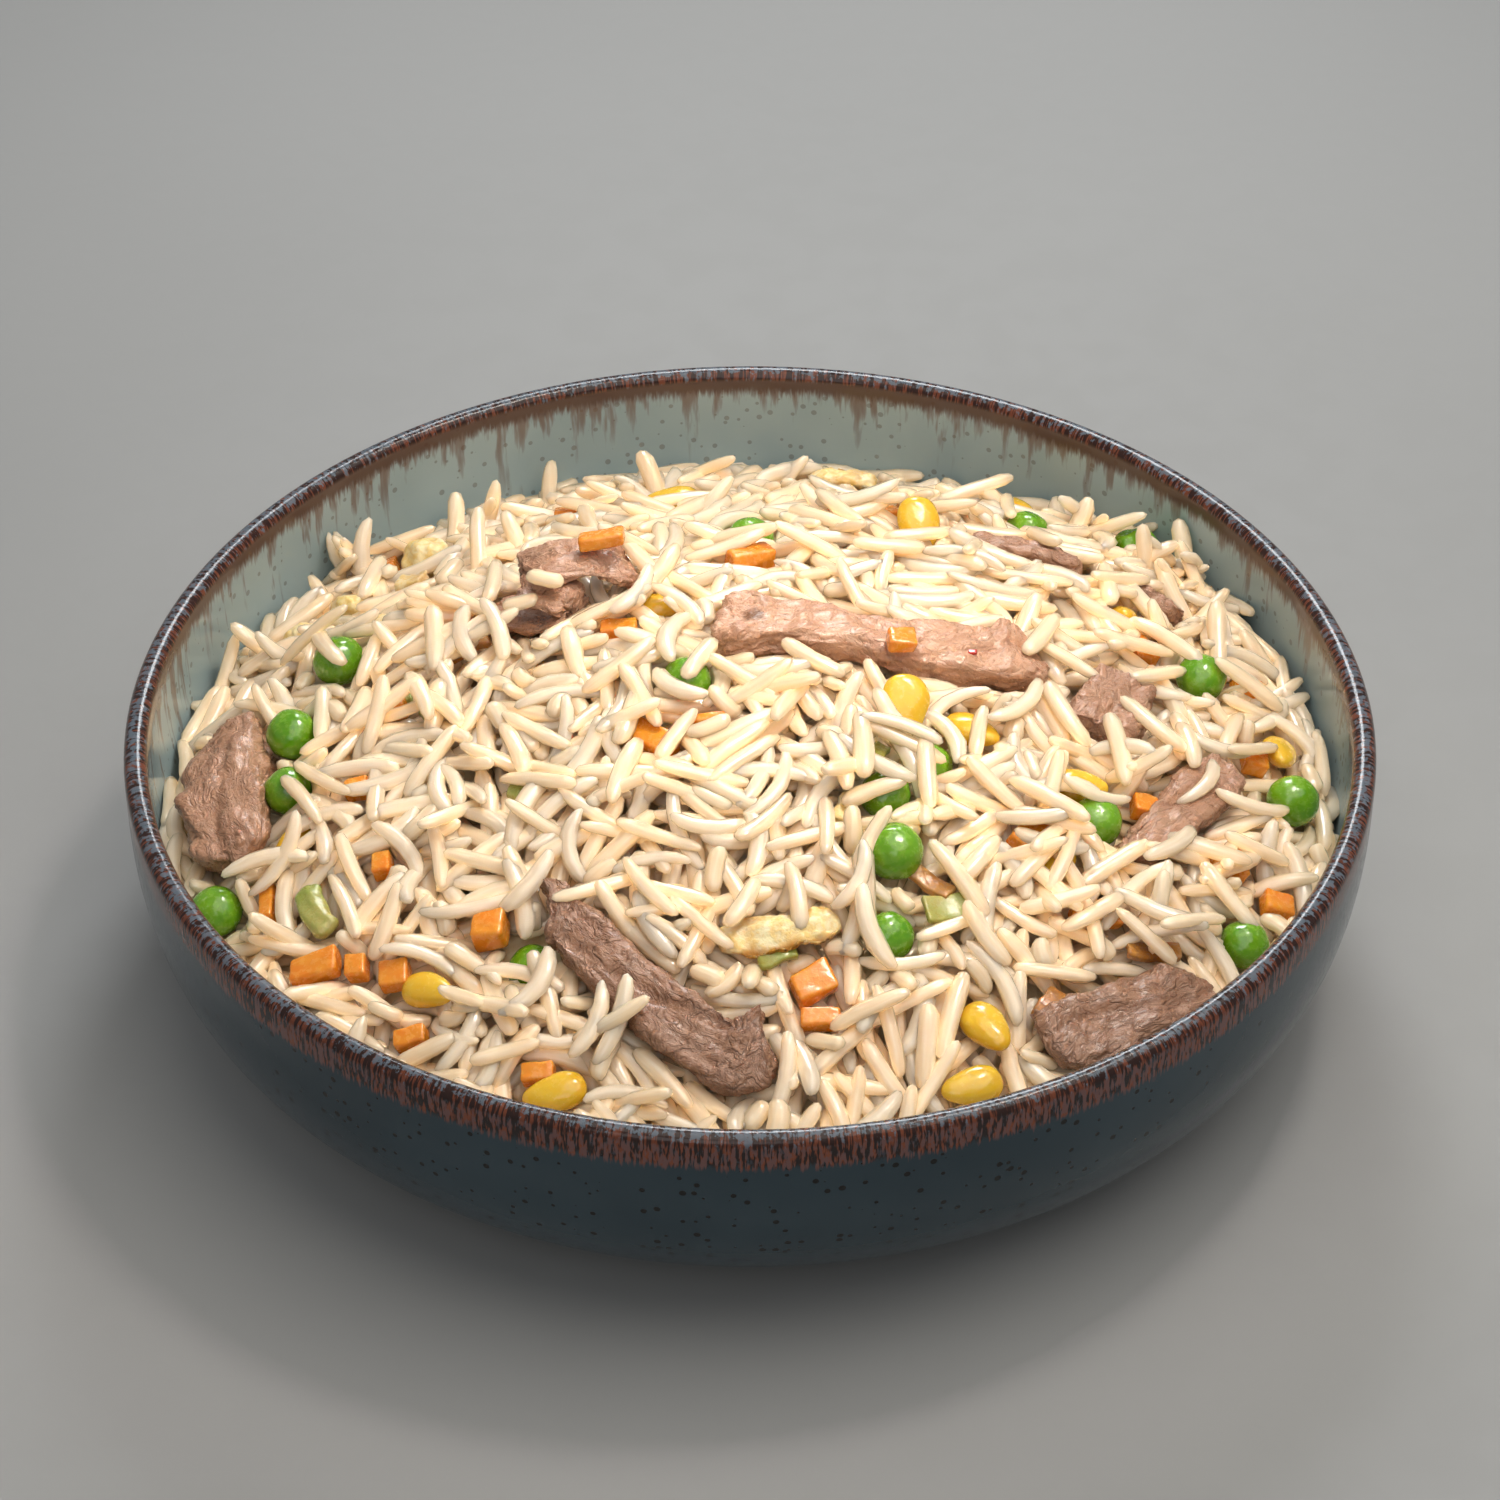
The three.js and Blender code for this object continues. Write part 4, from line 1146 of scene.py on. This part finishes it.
def standGrain(x, y, azimuth, tilt, kind=0):
    grain = newGrain(kind)
    slope = math.tan(math.radians(tilt))
    reach = grain["length"] / 2 * math.cos(math.radians(tilt))
    ground = support[cellOf(np.array([x])), cellOf(np.array([y]))][0]
    height = ground + reach * slope * (1 - 2 * standing["sunk"])
    if height + reach * slope + standing["thick"] > standing["highest"]:
        return False
    tips = np.array((-0.9, -0.4, 0, 0.4, 0.9)) * reach
    cells = cellOf(x + tips * math.cos(azimuth)), cellOf(y + tips * math.sin(azimuth))
    line = height + slope * tips
    clearOfToppings = ((line - 1 > toppingTop[cells]) | (line + 1 < toppingBottom[cells])).all()
    clear = clearOfToppings and (line > wallHeight[cells] + standing["wallGap"]).all()
    if clear:
        layGrain(grain, x, y, azimuth, height, slope, mark=False)
    return clear


for x, y, count, spread, tilt in clumps:
    for _ in range(count * 3):
        if count and standGrain(
            x + draw.normal() * spread * 0.6, y + draw.normal() * spread * 0.6,
            draw.uniform(0, 2 * math.pi), tilt + draw.uniform(-12, 12), int(draw.random() < 0.3),
        ):
            count -= 1
for _ in range(standing["count"]):
    far = half * 0.9 * math.sqrt(draw.random())
    turn = draw.uniform(0, 2 * math.pi)
    x, y = far * math.cos(turn), far * math.sin(turn)
    standGrain(x, y, draw.uniform(0, 2 * math.pi), draw.uniform(*standing["tilt"]))

# Grains that lie over toppings: x, y, heading, kind, length.
covering = [
    (71.5, -15, 60, 1, 13), (22, -14.5, -65, 0, 12), (18.5, -42.5, 60, 0, 12), (-33, 16, -20, 2, 6.5),
    (-37, 14.5, 5, 2, 6), (-69, 19, -60, 0, 11), (-62, 14, 75, 0, 11), (36, -13, 80, 0, 11),
    (-8, -3, 65, 0, 11), (19, -31, 20, 0, 11), (-19, -15, 75, 0, 12), (-11.5, -19.5, 60, 0, 12),
    (-1, -53.5, 65, 0, 11), (7, -52, 100, 0, 12), (49, -23, 10, 1, 12), (59, -12, -20, 1, 12),
    (-36.5, -74, 10, 0, 11), (10, -1.5, -30, 0, 12), (28, 45, 15, 0, 12),
]
overAll = np.maximum(support, toppingTop)
for x, y, heading, kind, length in covering:
    grain = newGrain(kind)
    grain["length"] = length
    spots = np.array([x]), np.array([y]), np.array([math.radians(heading)])
    heights, slopes, _ = rest(grain, *spots, overAll)
    layGrain(grain, x, y, spots[2][0], heights[0], slopes[0])
# Grains that lap a little over the edges of toppings.
lapping = {"count": 130, "over": 0.6, "tries": 2500, "farthest": 84}
keptClear = np.array([  # toppings, or their near sides, that the photo shows bare: x, y, radius
    (-67, -41, 8), (4, -60, 10), (26, -8, 6), (24, -42, 6), (-83, -34, 6), (87, -8, 6), (-40, -53, 5),
    (-22, -60, 9), (-4, -78, 9), (10, 6, 9), (0, 8, 8), (36, 6, 9), (-34, 20, 10), (35, -69, 6),
    (33, -78, 6), (58, -62, 8), (-48, -60, 6), (-55, 55, 8), (-67.5, 42, 5), (-74.5, 34.5, 5),
    (16.5, 81, 8), (28.5, 51, 6), (-84, -10, 12),
])
edges = np.argwhere((toppingTop > support + 0.3) & (toppingTop < support + 4.5))
lapped = 0
for _ in range(lapping["tries"]):
    if lapped == lapping["count"]:
        break
    grain = newGrain(int(draw.random() < 0.3))
    spot = edges[draw.integers(len(edges))]
    x, y = ticks[spot[0]] + draw.uniform(-6, 6, 1), ticks[spot[1]] + draw.uniform(-6, 6, 1)
    azimuth = draw.uniform(0, 2 * math.pi, 1)
    heights, slopes, _ = rest(grain, x, y, azimuth, overAll)
    tips = grain["length"] / 2 * stations
    cells = cellOf(x + tips * np.cos(azimuth)), cellOf(y + tips * np.sin(azimuth))
    over = (toppingTop[cells] > support[cells]).mean()
    raised = heights[0] - support[cellOf(x), cellOf(y)][0]
    clear = (np.hypot(keptClear[:, 0] - x, keptClear[:, 1] - y) > keptClear[:, 2] + 2).all()
    if clear and 0.1 < over < lapping["over"] and raised < 3 and np.hypot(x, y)[0] < lapping["farthest"]:
        layGrain(grain, x[0], y[0], azimuth[0], heights[0], slopes[0])
        overAll = np.maximum(overAll, support)
        lapped += 1
report(f"standing grains, covering grains and {lapped} lapping ones")


# All grains of a kind in one mesh: rings round each grain's bent axis, and a point at both ends.
def makeGrains(chosen, name):
    count, rings, sides = len(chosen), rice["rings"], rice["sides"]
    keys = ("x", "y", "azimuth", "height", "slope", "length", "width", "bend")
    x, y, azimuth, height, slope, length, width, bend = (
        np.array([grain[key] for grain in chosen], float)[:, None] for key in keys
    )
    stops = np.sin(np.linspace(-1, 1, rings + 2) * math.pi / 2)
    share = np.concatenate((stops[1:-1].repeat(sides), (-1, 1)))[None, :]
    turn = np.concatenate((np.tile(np.arange(sides) * 2 * math.pi / sides, rings), (0, 0)))[None, :]
    cosTilt = 1 / np.sqrt(1 + slope ** 2)
    sinTilt = slope * cosTilt
    swell = 1 + draw.normal(0, 0.045, (count, share.shape[1]))
    fatter = 1 + rice["fuller"] * draw.uniform(-1, 1, (count, 1)) * share
    radius = girth(share) * swell * fatter * width / 2
    reach = share * length / 2
    side = bend * bow(share) + radius * np.cos(turn)
    arch = draw.normal(0, rice["arched"], (count, 1)) * bow(share)
    lift = radius * np.sin(turn) * rice["thickness"] + arch
    cos, sin = np.cos(azimuth), np.sin(azimuth)
    forward = reach * cosTilt - lift * sinTilt
    points = np.stack((
        x + forward * cos - side * sin,
        y + forward * sin + side * cos,
        height + reach * sinTilt + lift * cosTilt,
    ), -1)
    ring = np.arange(sides)
    following = (ring + 1) % sides
    bands = (np.arange(rings - 1) * sides)[:, None]
    quads = np.stack((bands + ring, bands + following, bands + sides + following, bands + sides + ring), 2)
    quads = quads.reshape(-1, 4)
    first, last = rings * sides, rings * sides + 1
    top = (rings - 1) * sides
    ends = np.concatenate((
        np.stack((np.full(sides, first), following, ring), 1),
        np.stack((np.full(sides, last), top + ring, top + following), 1),
    ))
    perGrain = share.shape[1]
    starts = np.arange(count)[:, None, None] * perGrain
    allQuads = (quads[None] + starts).reshape(-1)
    allEnds = (ends[None] + starts).reshape(-1)
    mesh = bpy.data.meshes.new(name)
    mesh.vertices.add(count * perGrain)
    mesh.vertices.foreach_set("co", (points * mm).ravel())
    mesh.loops.add(len(allQuads) + len(allEnds))
    mesh.loops.foreach_set("vertex_index", np.concatenate((allQuads, allEnds)))
    mesh.polygons.add(len(allQuads) // 4 + len(allEnds) // 3)
    offsets = np.concatenate((np.arange(0, len(allQuads), 4), len(allQuads) + np.arange(0, len(allEnds), 3)))
    mesh.polygons.foreach_set("loop_start", offsets)
    mesh.update(calc_edges=True)
    apart = np.arange(count)[:, None] * 7.3 + 0 * reach  # so that no two grains have the same streaks
    place = np.stack((reach, turn * width / 2 + 0 * reach, apart), -1)
    addAttribute(mesh, "grainPlace", place.reshape(-1, 3))
    tips = np.abs(share) ** 4
    tint = held(draw.beta(1.6, 2.2, (count, 1)) + 0.15 * tips)
    addAttribute(mesh, "tint", (tint + 0 * reach).ravel())
    return mesh


riceColours = {  # light, deep and cloudy
    "Straight": ((0.92, 0.71, 0.465), (0.83, 0.61, 0.375), (0.93, 0.785, 0.61)),
    "Curved": ((0.89, 0.715, 0.5), (0.79, 0.62, 0.43), (0.91, 0.78, 0.64)),
    "Broken": ((0.92, 0.7, 0.45), (0.83, 0.6, 0.36), (0.92, 0.775, 0.59)),
}
for kind, (form, colours) in enumerate(riceColours.items()):
    mesh = makeGrains([grain for grain in grains if grain["kind"] == kind], "grains" + form)
    addPiece(mesh, "grains" + form, "rice", makeRice("rice" + form, *colours), "rice_heap")
addPiece(makeCore(), "riceCore", "rice", makeCoreSkin(), "rice_heap")
report("rice")

# A fleck of red pepper on the longest strip.
fleck = {"x": 35.5, "y": 3.2, "size": (1.4, 1.0, 0.5)}
fleckLooks = dict(
    carrotLooks, colour=(0.62, 0.03, 0.012), second=(0.5, 0.02, 0.01), third=(0.7, 0.1, 0.03),
    tinted=(0.6, 0.04, 0.02),
)
shape = bmesh.new()
bmesh.ops.create_cube(shape, size=1, matrix=Matrix.Diagonal((*(side * mm for side in fleck["size"]), 1)))
roundedBlock(shape, 0.15 * mm, 2)
fleckTop = toppingTop[cellOf(np.array([fleck["x"]])), cellOf(np.array([fleck["y"]]))][0]
shape.transform(Matrix.Translation(Vector((fleck["x"], fleck["y"], fleckTop - 0.1)) * mm))
fleckMesh = meshOf(shape, "pepperFleck")
addAttribute(fleckMesh, "tint", np.zeros(len(fleckMesh.vertices)))
addPiece(fleckMesh, "pepperFleck", "carrot", makeVegetable("pepperRed", fleckLooks))

# Floor, light and camera.
stage = {
    "floorColour": (0.4, 0.395, 0.385),
    "floorSecond": (0.385, 0.38, 0.37),
    "floorReach": 4,  # metres
    "aim": (0, 0, 0.04),  # where the lights point
    "worldColour": (0.94, 0.975, 1.0),
    "world": 0.28,
    "cameraDistance": 763,
    "cameraElevation": 38.2,
    "aimLower": 0.457,  # degrees, so that the bowl stands a little above the middle of the picture
    "lens": 114.3,
}
lights = {  # place in metres, watts, size in metres, colour and spread in degrees
    "keyLight": ((0.1, -0.06, 0.44), 1.18, 0.56, (1.0, 0.955, 0.88), 180),
    "fillLight": ((-0.12, -0.75, 0.62), 0.8, 0.5, (1.0, 1.0, 1.0), 180),
    "poolLight": ((0.13, 0.08, 0.44), 0.052, 0.14, (1.0, 0.93, 0.84), 30),  # on the middle of the heap
    "glintLight": ((0.03, 0.42, 0.39), 1.1, 0.17, (0.95, 0.98, 1.0), 180),  # behind, so that wet tops show it
}


def makeFloor():
    material, tree, skin = newMaterial("floorPale")
    mottle, speckle, relief = mottled(tree, objectPlace(tree), 6.0, 90.0)
    colour = mix(tree, mottle, stage["floorColour"], stage["floorSecond"])
    painted(tree, skin, colour, span(tree, speckle, 0, 1, 0.6, 0.7))
    bumped(tree, skin, relief, 0.1, 0.2 * mm)
    shape = bmesh.new()
    bmesh.ops.create_circle(shape, cap_ends=True, segments=64, radius=stage["floorReach"])
    floor = placed("floor", meshOf(shape, "floor"))
    floor.data.materials.append(material)


def addLight(name, place, power, size, colour, spread):
    lamp = bpy.data.lights.new(name, "AREA")
    lamp.shape = "DISK"
    lamp.energy, lamp.size, lamp.color, lamp.spread = power, size, colour, math.radians(spread)
    light = placed(name, lamp)
    light.location = place
    light.rotation_euler = (Vector(stage["aim"]) - Vector(place)).to_track_quat("-Z", "Y").to_euler()


makeFloor()
for name, settings in lights.items():
    addLight(name, *settings)
world = bpy.data.worlds.new("studio")
world.use_nodes = True
sky = world.node_tree.nodes["Background"]
setInput(world.node_tree, sky.inputs["Color"], stage["worldColour"])
sky.inputs["Strength"].default_value = stage["world"]
bpy.context.scene.world = world
bpy.context.scene.view_settings.view_transform = "Standard"

elevation = math.radians(stage["cameraElevation"])
away = stage["cameraDistance"] * mm
camera = placed("camera", bpy.data.cameras.new("camera"))
camera.data.lens = stage["lens"]
camera.data.sensor_width = 36
camera.data.clip_start = 0.05
rimMiddle = bowl["height"] * mm
camera.location = (0, -away * math.cos(elevation), rimMiddle + away * math.sin(elevation))
camera.rotation_euler = (math.radians(90 - stage["cameraElevation"] - stage["aimLower"]), 0, 0)
bpy.context.scene.camera = camera
report("stage")
